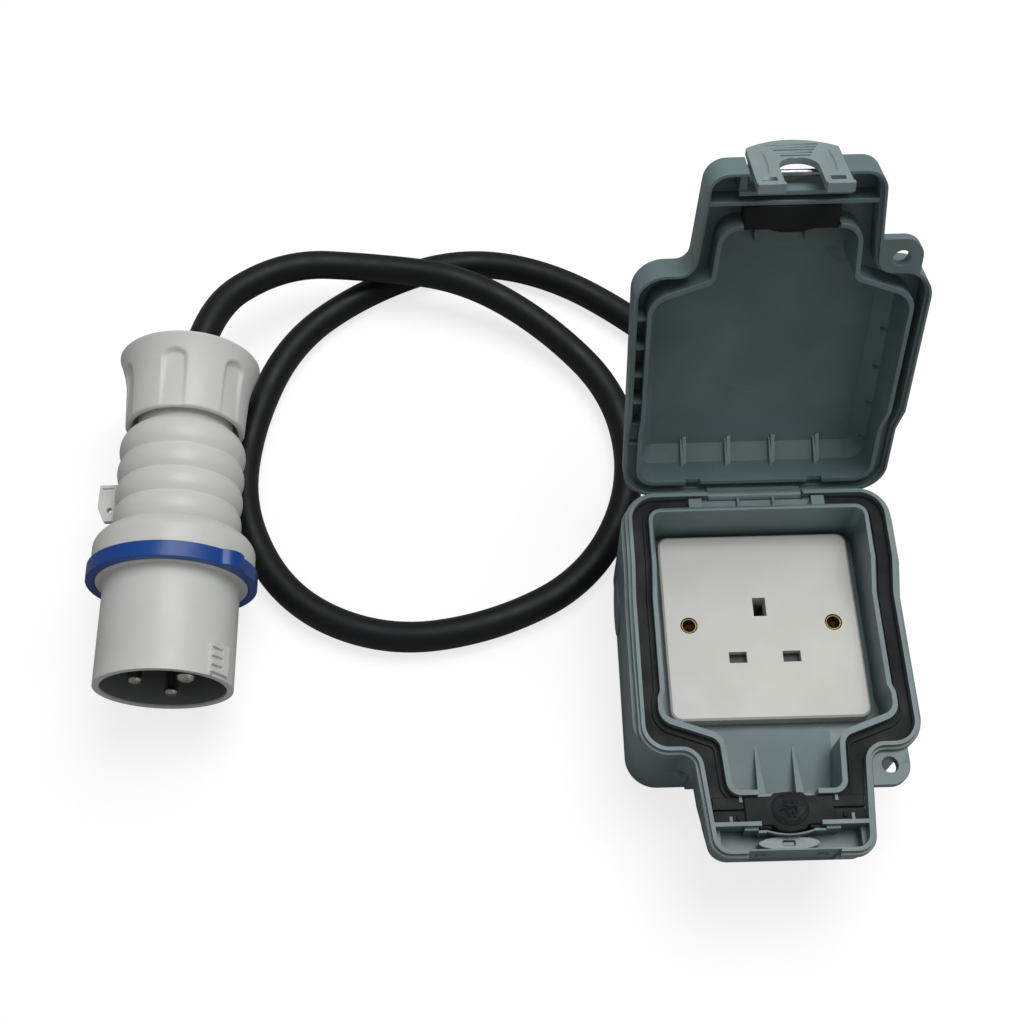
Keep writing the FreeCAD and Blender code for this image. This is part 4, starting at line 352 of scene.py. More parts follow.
def weigh_edges(mesh, width, angle, plain):
    """Marks the sharp edges of a mesh to be rounded, but for the plain ones, and its faces."""
    work = bmesh.new()
    work.from_mesh(mesh)
    weights = work.edges.layers.float.get("bevel_weight_edge")
    weights = weights or work.edges.layers.float.new("bevel_weight_edge")
    sources = work.faces.layers.int.get("source") or work.faces.layers.int.new("source")
    for edge in work.edges:
        sharp = len(edge.link_faces) == 2 and edge.calc_face_angle(0.0) > angle
        rounded = sharp and edge.index not in plain and roomy(edge, width)
        edge[weights] = 1.0 if rounded else 0.0
        edge.smooth = rounded or not sharp
    for face in work.faces:
        face.smooth = True
        face[sources] = face.index
    work.to_mesh(mesh)
    work.free()


def torn_sources(mesh):
    """Faces of the unrounded mesh whose rounding made them cross themselves."""
    mesh.calc_loop_triangles()
    cover = [0.0] * len(mesh.polygons)
    for triangle in mesh.loop_triangles:
        cover[triangle.polygon_index] += triangle.area
    sources = mesh.attributes["source"].data
    return {sources[face.index].value for face in mesh.polygons
            if cover[face.index] > face.area * TORN_SHARE + TORN_AREA}


def rounded_copy(mesh, width, segments):
    """A copy of a mesh with its marked edges rounded."""
    working = working_object(mesh.copy())
    edge = working.modifiers.new("Edge", "BEVEL")
    edge.width = width
    edge.segments = segments
    edge.limit_method = "WEIGHT"
    edge.use_clamp_overlap = False
    edge.miter_outer = "MITER_ARC"
    normals = working.modifiers.new("Normals", "WEIGHTED_NORMAL")
    normals.keep_sharp = True
    return settled(working)


def short_edges(mesh, faces, longest):
    """Edges of the given faces that are shorter than a length."""
    found = {}
    for edge in mesh.edges:
        start, end = (mesh.vertices[corner].co for corner in edge.vertices)
        if (end - start).length < longest:
            found[edge.key] = edge.index
    keys = {key for face in faces for key in mesh.polygons[face].edge_keys}
    return {found[key] for key in keys if key in found}


def softened(mesh, width, segments=2, angle=32.0):
    """Rounds the sharp edges of a mesh, as a moulding has them, where there is room.

    Where that tears a face its edges are left plain, the short ones first."""
    plain = set()
    for longest in (2.0 * width, 6.0 * width, math.inf, math.inf):
        weigh_edges(mesh, width, math.radians(angle), plain)
        result = rounded_copy(mesh, width, segments)
        torn = torn_sources(result)
        if not torn:
            break
        plain |= short_edges(mesh, torn, longest)
    result.attributes.remove(result.attributes["source"])
    return result


def lying(x, y, z):
    """A place on the box, given in millimetres."""
    return Vector((x, y, z)) * 0.001


def opened(x, y, z):
    """A place on the lid as it lies when shut, in millimetres, moved to the open lid."""
    turn = Matrix.Rotation(-LID_ANGLE, 3, "X")
    hinge = Vector(HINGE)
    return (hinge + turn @ (Vector((x, y, z)) - hinge)) * 0.001


def opened_step(x, y, z):
    """A step on the lid as it lies when shut, in millimetres, turned with the open lid."""
    return opened(x, y, z) - opened(0.0, 0.0, 0.0)


def on_plug(x, y, z):
    """A place on the round plug, its axis along Z, in millimetres."""
    return PLUG_PLACE @ (Vector((x, y, z)) * 0.001)


def strip(left, right, front, back):
    """A flat oblong outline between two sides."""
    return [(left, front), (right, front), (right, back), (left, back)]


def blocks(parts, place):
    """One mesh of closed blocks, each over a flat outline between two heights."""
    work = bmesh.new()
    for outline, low, high in parts:
        under = [work.verts.new(place(x, y, low)) for x, y in outline]
        over = [work.verts.new(place(x, y, high)) for x, y in outline]
        work.faces.new(under[::-1])
        work.faces.new(over)
        for here in range(len(outline)):
            work.faces.new((under[here - 1], under[here], over[here], over[here - 1]))
    return closed_mesh(work)


def closed_mesh(work):
    """Turns finished bmesh work into a mesh with its faces outward."""
    bmesh.ops.recalc_face_normals(work, faces=work.faces)
    mesh = bpy.data.meshes.new("piece")
    work.to_mesh(mesh)
    work.free()
    return mesh


def hump_height(side, along, rise, dent, rough):
    """How high a torn hump stands at a place, given as shares of its reach."""
    dent_sharpness, torn_cells, torn_layer = 9.0, 7.0, 0.4
    share = math.hypot(side, along)
    whole = rise * (1.0 - share ** 4) - dent * math.exp(-dent_sharpness * share ** 2)
    tear = noise.noise((torn_cells * side, torn_cells * along, torn_layer))
    return max(0.0, whole + rough * tear * (1.0 - share ** 2))


def mound(centre, reach, rise, dent, rough, place):
    """A closed hump over an oval, dented in its middle and torn, rooted in what it stands on."""
    rings, steps, root = 14, 48, 1.0
    x, y, low = centre
    turns = [math.tau * step / steps for step in range(steps)]
    round_spots = [(math.cos(turn), math.sin(turn)) for turn in turns]
    work = bmesh.new()

    def corner(side, along, height):
        return work.verts.new(place(x + reach[0] * side, y + reach[1] * along, low + height))

    loops = []
    for ring in range(1, rings + 1):
        share = ring / rings
        loops.append([
            corner(share * side, share * along,
                   hump_height(share * side, share * along, rise, dent, rough))
            for side, along in round_spots])
    loops.append([corner(side, along, -root) for side, along in round_spots])
    top = corner(0.0, 0.0, rise - dent)
    for step in range(steps):
        work.faces.new((top, loops[0][step - 1], loops[0][step]))
        for inner, outer in zip(loops, loops[1:]):
            work.faces.new((inner[step - 1], outer[step - 1], outer[step], inner[step]))
    work.faces.new(loops[-1])
    for face in work.faces:
        face.smooth = True
    return closed_mesh(work)


def turned(loop, steps, groove, place):
    """A ring of revolution from a closed loop of radii and heights, grooved where asked."""
    work = bmesh.new()
    rings = []
    for step in range(steps):
        angle = math.tau * step / steps
        radii = [(radius - groove(radius, height, angle), height) for radius, height in loop]
        rings.append([
            work.verts.new(place(radius * math.cos(angle), radius * math.sin(angle), height))
            for radius, height in radii])
    for here in range(steps):
        before, after = rings[here - 1], rings[here]
        for spot in range(len(loop)):
            work.faces.new((before[spot - 1], before[spot], after[spot], after[spot - 1]))
    for face in work.faces:
        face.smooth = True
    return closed_mesh(work)


def plain_ring(radius, height, angle):
    """No groove at all."""
    return 0.0


def joined(*meshes):
    """Several closed meshes as one."""
    work = bmesh.new()
    for mesh in meshes:
        work.from_mesh(mesh)
        bpy.data.meshes.remove(mesh)
    mesh = bpy.data.meshes.new("piece")
    work.to_mesh(mesh)
    work.free()
    return mesh


def carved(mesh, tool_mesh):
    """A mesh with another cut out of it."""
    working = working_object(mesh)
    tool = working_object(tool_mesh)
    cut = working.modifiers.new("Cut", "BOOLEAN")
    cut.operation = "DIFFERENCE"
    cut.solver = "EXACT"
    cut.object = tool
    result = settled(working)
    bpy.data.objects.remove(tool, do_unlink=True)
    return result


def row_group(material):
    """Node group that repeats a piece along a straight row."""
    group = bpy.data.node_groups.new("row", "GeometryNodeTree")
    interface = group.interface
    for name, kind in (("Piece", "NodeSocketObject"), ("Count", "NodeSocketInt"),
                       ("Step", "NodeSocketVector")):
        interface.new_socket(name=name, in_out="INPUT", socket_type=kind)
    interface.new_socket(name="Mesh", in_out="OUTPUT", socket_type="NodeSocketGeometry")
    given = group.nodes.new("NodeGroupInput")
    result = group.nodes.new("NodeGroupOutput")
    line = group.nodes.new("GeometryNodeMeshLine")
    source = group.nodes.new("GeometryNodeObjectInfo")
    copies = group.nodes.new("GeometryNodeInstanceOnPoints")
    real = group.nodes.new("GeometryNodeRealizeInstances")
    finish = group.nodes.new("GeometryNodeSetMaterial")
    finish.inputs["Material"].default_value = material
    for start, end in (
            (given.outputs["Piece"], source.inputs["Object"]),
            (given.outputs["Count"], line.inputs["Count"]),
            (given.outputs["Step"], line.inputs["Offset"]),
            (line.outputs["Mesh"], copies.inputs["Points"]),
            (source.outputs["Geometry"], copies.inputs["Instance"]),
            (copies.outputs["Instances"], real.inputs["Geometry"]),
            (real.outputs["Geometry"], finish.inputs["Geometry"]),
            (finish.outputs["Geometry"], result.inputs["Mesh"])):
        group.links.new(start, end)
    return group


def row(mesh, count, step, material):
    """A mesh repeated along a row by geometry nodes."""
    unit = working_object(mesh)
    holder = working_object(bpy.data.meshes.new("row"))
    group = row_group(material)
    repeat = holder.modifiers.new("Row", "NODES")
    repeat.node_group = group
    values = {"Piece": unit, "Count": count, "Step": step}
    for socket in group.interface.items_tree:
        if socket.name in values:
            repeat[socket.identifier] = values[socket.name]
    result = settled(holder)
    bpy.data.objects.remove(unit, do_unlink=True)
    return result


def dress_nodes(slot, *nodes):
    """Gives carried-over nodes their material."""
    for node in nodes:
        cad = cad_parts[node]
        for place in cad.material_slots:
            place.material = materials[slot]


def seen_rays(tree):
    """One for the rays that show the room itself, which don't light the object, else nought."""
    rays = tree.nodes.new("ShaderNodeLightPath")
    either = tree.nodes.new("ShaderNodeMath")
    either.operation = "MAXIMUM"
    tree.links.new(rays.outputs["Is Camera Ray"], either.inputs[0])
    tree.links.new(rays.outputs["Is Transmission Ray"], either.inputs[1])
    return either.outputs[0]


class StageOperator(bpy.types.Operator):
    """Floor, light and camera of the studio"""
    bl_idname = "socket_lead.stage"
    bl_label = "Studio"

    # Where the lamps stand and what they face, and the side of a lamp, in metres
    KEY_PLACE = (0.25, 0.45, 1.45)
    FILL_PLACE = (0.8, -0.8, 0.5)
    LAMP_TARGET = (-0.06, 0.03, 0.03)
    LAMP_SIDE = 1.0

    # Half the side of the floor in metres, and the glow that lifts it to white where it is seen
    FLOOR_REACH = 3.0
    FLOOR_GLOW = 0.76

    def execute(self, context):
        studio = context.scene.lead_studio
        materials.update(build_finishes(context.scene.lead_colours))
        self.add_camera(context, studio)
        self.add_room(context, studio)
        self.add_floor(context.scene.lead_colours.floor)
        self.add_lamp("key_lamp", self.KEY_PLACE, studio.key_power)
        self.add_lamp("fill_lamp", self.FILL_PLACE, studio.fill_power)
        context.scene.view_settings.view_transform = "Standard"
        return {"FINISHED"}

    def add_camera(self, context, studio):
        lens = bpy.data.cameras.new("camera")
        lens.lens = studio.focal
        lens.sensor_width = 36.0
        lens.clip_start = 0.01
        camera = bpy.data.objects.new("camera", lens)
        bpy.context.collection.objects.link(camera)
        back = Vector((0.0, -math.cos(studio.elevation), math.sin(studio.elevation)))
        right = Vector((1.0, 0.0, 0.0))
        up = back.cross(right)
        turned_right = math.cos(studio.roll) * right + math.sin(studio.roll) * up
        turned_up = math.cos(studio.roll) * up - math.sin(studio.roll) * right
        pose = Matrix((turned_right, turned_up, back)).transposed().to_4x4()
        pose.translation = Vector(studio.place)
        camera.matrix_world = pose
        context.scene.camera = camera

    def add_room(self, context, studio):
        room = bpy.data.worlds.new("room")
        room.use_nodes = True
        tree = room.node_tree
        light = tree.nodes["Background"]
        light.inputs["Color"].default_value = (1.0, 1.0, 1.0, 1.0)
        light.inputs["Strength"].default_value = studio.room_light
        seen = tree.nodes.new("ShaderNodeBackground")
        seen.inputs["Color"].default_value = (1.0, 1.0, 1.0, 1.0)
        seen.inputs["Strength"].default_value = 1.0
        mixed = tree.nodes.new("ShaderNodeMixShader")
        tree.links.new(seen_rays(tree), mixed.inputs[0])
        tree.links.new(light.outputs[0], mixed.inputs[1])
        tree.links.new(seen.outputs[0], mixed.inputs[2])
        tree.links.new(mixed.outputs[0], tree.nodes["World Output"].inputs["Surface"])
        context.scene.world = room

    def add_floor(self, shade):
        mesh = bpy.data.meshes.new("floor")
        reach = self.FLOOR_REACH
        corners = [(x, y, 0.0) for x, y in strip(-reach, reach, -reach, reach)]
        mesh.from_pydata(corners, [], [(0, 1, 2, 3)])
        floor = bpy.data.objects.new("floor", mesh)
        bpy.context.collection.objects.link(floor)
        material = bpy.data.materials.new("floor_paper")
        material.use_nodes = True
        tree = material.node_tree
        shader = tree.nodes["Principled BSDF"]
        shader.inputs["Base Color"].default_value = (*linear(shade), 1.0)
        shader.inputs["Roughness"].default_value = 0.9
        shader.inputs["Specular IOR Level"].default_value = 0.2
        glow = tree.nodes.new("ShaderNodeEmission")
        glow.inputs["Color"].default_value = (1.0, 1.0, 1.0, 1.0)
        level = tree.nodes.new("ShaderNodeMath")
        level.operation = "MULTIPLY"
        level.inputs[1].default_value = self.FLOOR_GLOW
        tree.links.new(seen_rays(tree), level.inputs[0])
        tree.links.new(level.outputs[0], glow.inputs["Strength"])
        both = tree.nodes.new("ShaderNodeAddShader")
        tree.links.new(shader.outputs[0], both.inputs[0])
        tree.links.new(glow.outputs[0], both.inputs[1])
        tree.links.new(both.outputs[0], tree.nodes["Material Output"].inputs["Surface"])
        mesh.materials.append(material)

    def add_lamp(self, name, place, power):
        lamp = bpy.data.lights.new(name, "AREA")
        lamp.shape = "SQUARE"
        lamp.size = self.LAMP_SIDE
        lamp.energy = power
        holder = bpy.data.objects.new(name, lamp)
        bpy.context.collection.objects.link(holder)
        aim = (Vector(place) - Vector(self.LAMP_TARGET)).to_track_quat("Z", "Y")
        holder.matrix_world = Matrix.Translation(place) @ aim.to_matrix().to_4x4()


class FlexOperator(bpy.types.Operator):
    """Rubber flex from the gland to the plug"""
    bl_idname = "socket_lead.flex"
    bl_label = "Flex"

    # The route that its solid takes from the gland to the plug, in metres
    ROUTE = [
        (0.0, 0.050, 0.016), (0.0, 0.098, 0.016), (-0.006, 0.141, 0.007), (-0.033, 0.175, 0.007),
        (-0.080, 0.210, 0.007), (-0.129, 0.220, 0.007), (-0.177, 0.200, 0.007),
        (-0.212, 0.170, 0.007), (-0.2285, 0.121, 0.007), (-0.230, 0.076, 0.007),
        (-0.206, 0.031, 0.007), (-0.161, 0.0095, 0.007), (-0.112, 0.0155, 0.007),
        (-0.068, 0.038, 0.007), (-0.0445, 0.084, 0.007), (-0.050, 0.136, 0.007),
        (-0.084, 0.175, 0.012), (-0.124, 0.197, 0.022), (-0.168, 0.205, 0.022),
        (-0.213, 0.202, 0.0315), (-0.2504, 0.1633, 0.0415), (-0.25015, 0.1099, 0.0394)]

    # What hangs on the far end: the plug's dressed pieces, and the nodes inside it
    PLUG_PIECES = (
        "plug_sleeve", "plug_housing", "blue_ring", "pin_block", "line_pin", "neutral_pin",
        "earth_pin", "mouth_liner", "collar_shoulder", "plug_nut")
    INSIDE_PLUG = (
        "plug_cord_clamp", "plug_seal", "plug_terminal_screws", "plug_line_core",
        "plug_neutral_core", "plug_earth_core")

    def execute(self, context):
        on_flex = [bpy.data.objects.get(name) for name in self.PLUG_PIECES]
        if None in on_flex:
            raise RuntimeError("Build the round plug first, because it hangs on the flex")
        on_flex += [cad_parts[node] for node in self.INSIDE_PLUG]
        diameter = context.scene.lead_sizes.flex_diameter
        curve = bpy.data.curves.new("flex", "CURVE")
        curve.dimensions = "3D"
        spline = curve.splines.new("NURBS")
        spline.points.add(len(self.ROUTE) - 1)
        for point, place in zip(spline.points, self.ROUTE):
            point.co = (*place, 1.0)
        spline.order_u = 3
        spline.use_endpoint_u = True
        spline.resolution_u = 16
        curve.bevel_depth = diameter / 2.0
        curve.bevel_resolution = 10
        curve.use_fill_caps = True
        curve.materials.append(materials["cable_rubber"])
        flex = bpy.data.objects.new("flex", curve)
        context.collection.objects.link(flex)
        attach(flex, "base")
        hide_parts("cable")
        return {"FINISHED"}


class EnclosureOperator(bpy.types.Operator):
    """Front frame and back box"""
    bl_idname = "socket_lead.enclosure"
    bl_label = "Enclosure"

    # Clips and stepped wall round the seal of the neck: outline, foot and top, in millimetres
    CLIPS = [
        (strip(-18.9, -17.5, -77.7, -75.2), 50.0, 54.0),
        (strip(17.8, 19.2, -77.7, -75.2), 50.0, 54.0),
        (strip(-23.2, -21.9, -85.6, -82.9), 50.0, 54.0),
        (strip(23.3, 24.6, -85.6, -82.5), 50.0, 54.0),
        (strip(-17.8, -12.4, -88.5, -87.0), 45.0, 53.8),
        (strip(13.2, 18.8, -88.4, -86.9), 45.0, 53.8),
        (strip(-12.6, -9.3, -89.3, -88.2), 45.0, 53.2),
        (strip(8.6, 13.3, -88.9, -87.8), 45.0, 53.2),
    ]

    # Thin wall that bows out in the middle of the neck: its middle, half its width, how far its
    # ends stand back, its thickness, its foot and its top
    BOW_MIDDLE, BOW_REACH, BOW_RISE, BOW_WALL = (-0.2, -90.3), 9.4, 1.6, 0.8
    BOW_FOOT, BOW_TOP = 45.0, 52.8

    def bowed_wall(self):
        """Outline, foot and top of the thin bowed wall."""
        x, y = self.BOW_MIDDLE
        shares = [step / 8.0 - 1.0 for step in range(17)]
        front = [(x + self.BOW_REACH * share, y + self.BOW_RISE * share ** 2) for share in shares]
        back = [(side, along + self.BOW_WALL) for side, along in reversed(front)]
        return front + back, self.BOW_FOOT, self.BOW_TOP

    def execute(self, context):
        edge = context.scene.lead_sizes.edge
        for node, name in (("front_frame", "frame_moulding"), ("back_box", "back_moulding")):
            mesh = softened(merged_copy(node), edge)
            put(name, mesh, "base", "enclosure_grey", (node,))
        clips = blocks(self.CLIPS + [self.bowed_wall()], lying)
        put("neck_clips", softened(clips, edge / 2), "base", "enclosure_grey")
        dress_nodes("steel", "frame_screws", "hinge_pins")
        return {"FINISHED"}


class LidOperator(bpy.types.Operator):
    """Lid with its seal, and the pin of the latch"""
    bl_idname = "socket_lead.lid"
    bl_label = "Lid"

    # Outline, foot and top as the lid lies when shut, in millimetres: the ribs in the neck, the
    # bulge of its seal and the first of the wedges on the right wall
    NECK_RIBS = [
        (strip(-9.6, -8.6, -71.0, -62.0), 72.0, 76.4),
        (strip(9.4, 10.4, -71.0, -62.0), 72.0, 76.4),
    ]
    BULGE = ([(-9.2, -77.5), (-8.0, -75.4), (-4.0, -74.4), (0.0, -74.2), (4.0, -74.4),
              (8.0, -75.4), (9.2, -77.5)], 56.4, 64.0)
    WEDGE = (strip(45.9, 47.9, -19.5, -18.6), 74.0, 79.5)

    # The crest of a gusset, a thin strip in the lighter latch grey that paints a highlight on its
    # edge: its outline along the gusset's slanting edge, its foot and its top
    HIGHLIGHT_CREST = ([(-0.85, 0.0), (0.85, 0.0), (0.45, 12.0), (-0.45, 12.0)], -0.6, 0.3)

    # Foot of the first gusset's slanting edge, and the way that the edge runs in Y and Z
    GUSSET_FOOT = (-28.0, 36.6, 79.8)
    GUSSET_WAY = (0.747, -0.664)

    # How many wedges and gussets there are, and how far apart
    WEDGES, WEDGE_PITCH = 4, 18.2
    GUSSETS, GUSSET_PITCH = 4, 19.0

    def along_gusset(self, x, along, rise):
        """A place on the slanting edge of the first gusset, or raised from it."""
        foot_x, foot_y, foot_z = self.GUSSET_FOOT
        way_y, way_z = self.GUSSET_WAY
        return opened(foot_x + x, foot_y + way_y * along + way_z * rise,
                      foot_z + way_z * along - way_y * rise)

    def execute(self, context):
        edge = context.scene.lead_sizes.edge
        put("lid_moulding", softened(merged_copy("lid_shell"), edge), "lid", "enclosure_grey",
            ("lid_shell",))
        wedges = row(blocks([self.WEDGE], opened), self.WEDGES,
                     opened_step(0.0, self.WEDGE_PITCH, 0.0), materials["enclosure_grey"])
        put("wall_wedges", softened(wedges, edge / 2), "lid", "enclosure_grey")
        # The crests take the lighter latch grey as a painted highlight on the gussets' edges
        highlight_crests = row(blocks([self.HIGHLIGHT_CREST], self.along_gusset), self.GUSSETS,
                     opened_step(self.GUSSET_PITCH, 0.0, 0.0), materials["latch_grey"])
        put("gusset_crests", highlight_crests, "lid", "latch_grey")
        put("neck_ribs", softened(blocks(self.NECK_RIBS, opened), edge / 2), "lid",
            "enclosure_grey")
        seal = softened(merged_copy("lid_neck_seal"), edge)
        bulge = softened(blocks([self.BULGE], opened), edge)
        put("lid_seal", joined(seal, bulge), "lid", "black_rubber", ("lid_neck_seal",))
        dress_nodes("steel", "latch_pin")
        return {"FINISHED"}


class LatchOperator(bpy.types.Operator):
    """Latch of the lid and the clear boss under it"""
    bl_idname = "socket_lead.latch"
    bl_label = "Latch"

    # Long leaf cut in each leg of the shut latch: its middle and half its size, in millimetres
    LEAF_MIDDLE = (11.8, -100.1, 60.6)
    LEAF_REACH = (1.25, 0.8, 8.8)

    # The oval boss in the bay of the frame: its middle, half its size, its foot and its top, and
    # the outline, foot and top of its slot
    BOSS_MIDDLE, BOSS_REACH = (-0.6, -92.5), (11.8, 2.7)
    BOSS_FOOT, BOSS_TOP = 45.3, 49.6
    BOSS_SLOT = (strip(-3.0, 1.6, -93.4, -91.6), 48.2, 53.0)
    BOSS_STEPS = 64

    def leaf(self, side):
        """The leaf that is cut in the left or the right leg."""
        x, y, z = self.LEAF_MIDDLE
        work = bmesh.new()
        bmesh.ops.create_uvsphere(work, u_segments=32, v_segments=24, radius=1.0)
        for vert in work.verts:
            across, deep, along = (reach * share for reach, share in zip(self.LEAF_REACH, vert.co))
            vert.co = opened(side * x + across, y + deep, z + along)
        return closed_mesh(work)

    def boss_outline(self):
        """The oval outline of the boss."""
        angles = [math.tau * step / self.BOSS_STEPS for step in range(self.BOSS_STEPS)]
        return [(self.BOSS_MIDDLE[0] + self.BOSS_REACH[0] * math.cos(angle),
                 self.BOSS_MIDDLE[1] + self.BOSS_REACH[1] * math.sin(angle)) for angle in angles]

    def execute(self, context):
        edge = context.scene.lead_sizes.edge
        fork = merged_copy("latch")
        for side in (-1.0, 1.0):
            fork = carved(fork, self.leaf(side))
        put("latch_fork", softened(fork, edge), "latch", "latch_grey", ("latch",))
        boss = blocks([(self.boss_outline(), self.BOSS_FOOT, self.BOSS_TOP)], lying)
        slot = blocks([self.BOSS_SLOT], lying)
        put("clear_boss", softened(carved(boss, slot), edge), "base", "keeper_clear",
            ("latch_keeper",))
        return {"FINISHED"}


class GasketOperator(bpy.types.Operator):
    """Gasket round the well and the seal in the neck"""
    bl_idname = "socket_lead.gasket"
    bl_label = "Gasket"

    # Blocks of the seal in the neck: outline, foot and top, in millimetres
    SEAL = [
        ([(-17.0, -75.6), (-6.8, -75.6), (-5.4, -74.4), (0.0, -74.0), (5.6, -74.3), (6.9, -75.6),
          (17.0, -75.6), (17.0, -86.6), (6.6, -86.6), (5.2, -88.4), (0.0, -89.3), (-5.2, -88.5),
          (-6.6, -86.7), (-17.0, -86.7)], 50.0, 54.3),
        (strip(-16.0, -7.4, -87.9, -86.5), 50.0, 53.6),
        (strip(7.2, 16.0, -87.8, -86.4), 50.0, 53.6),
        (strip(-29.2, -16.8, -80.3, -75.5), 50.5, 53.4),
        (strip(16.8, 29.2, -80.1, -75.5), 50.5, 53.4),
        (strip(-28.9, -16.8, -85.4, -80.6), 50.5, 53.2),
        (strip(16.8, 28.9, -85.4, -80.4), 50.5, 53.2),
        (strip(-20.4, -18.9, -84.6, -82.5), 53.0, 54.0),
        (strip(20.2, 21.7, -84.2, -82.2), 53.0, 54.0),
    ]

    # The hump on the seal: the middle of its foot and half its size, in millimetres
    HUMP = (0.2, -80.8, 54.2)
    HUMP_REACH = (7.6, 6.6)

    def execute(self, context):
        fine = context.scene.lead_sizes.fine_edge
        for side in ("left", "right"):
            put("gasket_" + side, softened(merged_copy("rim_gasket_" + side), fine), "base",
                "black_rubber", ("rim_gasket_" + side,))
        seal = softened(blocks(self.SEAL, lying), 2 * fine)
        hump = mound(self.HUMP, self.HUMP_REACH, rise=0.8, dent=0.5, rough=0.9, place=lying)
        put("neck_seal", joined(seal, hump), "base", "black_rubber", ("base_neck_seal",))
        return {"FINISHED"}


class SocketOperator(bpy.types.Operator):
    """Socket plate, its screws and what lies behind it"""
    bl_idname = "socket_lead.socket"
    bl_label = "Socket"

    # How far a plate screw lies from the middle, in millimetres
    SCREW_X = 30.15

    # Radius so near the axis that a turned piece is closed there, in millimetres
    AXIS = 0.02

    # Section of the seat that a plate screw lies in: radius and height, in millimetres
    SEAT = [(AXIS, 30.0), (1.8, 30.0), (1.8, 31.0), (3.5, 33.3), (3.5, 43.0), (AXIS, 43.0)]

    # Section of a plate screw with its deep round recess: radius and height, in millimetres
    SCREW = [
        (AXIS, 24.0), (1.5, 24.0), (1.7, 24.3), (1.7, 31.0), (3.2, 33.0), (3.4, 33.4), (3.4, 41.0),
        (3.3, 41.5), (3.1, 41.7), (2.7, 41.7), (2.45, 41.4), (2.4, 41.0), (2.35, 33.2),
        (AXIS, 33.0)]

    def on_screw_axis(self, loop, side):
        """A piece turned about the axis of the left or the right plate screw."""
        return turned(
            loop, 64, plain_ring, lambda x, y, z: lying(side * self.SCREW_X + x, y, z))

    def execute(self, context):
        sides = (-1.0, 1.0)
        plate = merged_copy("socket_plate")
        for side in sides:
            plate = carved(plate, self.on_screw_axis(self.SEAT, side))
        put("plate_moulding", softened(plate, context.scene.lead_sizes.edge), "base",
            "white_plate", ("socket_plate",))
        screws = [self.on_screw_axis(self.SCREW, side) for side in sides]
        put("plate_screw_pair", joined(*screws), "base", "brass", ("plate_screws",))
        dress_nodes("white_moulding", "socket_moulding", "socket_rear_cover")
        dress_nodes("gland_black", "shutter")
        dress_nodes("brass", "line_contact", "neutral_contact", "earth_contact")
        dress_nodes("steel", "terminal_screws")
        dress_nodes("core_brown", "line_core")
        dress_nodes("core_blue", "neutral_core")
        dress_nodes("core_green", "earth_core")
        return {"FINISHED"}


class GlandOperator(bpy.types.Operator):
    """Cable gland in the wall under the hinge"""
    bl_idname = "socket_lead.gland"
    bl_label = "Gland"

    def execute(self, context):
        edge = context.scene.lead_sizes.edge
        for node, name in (("gland_body", "gland_bush"), ("gland_cap", "gland_nut"),
                           ("gland_locknut", "gland_ring_nut")):
            put(name, softened(merged_copy(node), edge), "base", "gland_black", (node,))
        dress_nodes("black_rubber", "gland_seal")
        return {"FINISHED"}


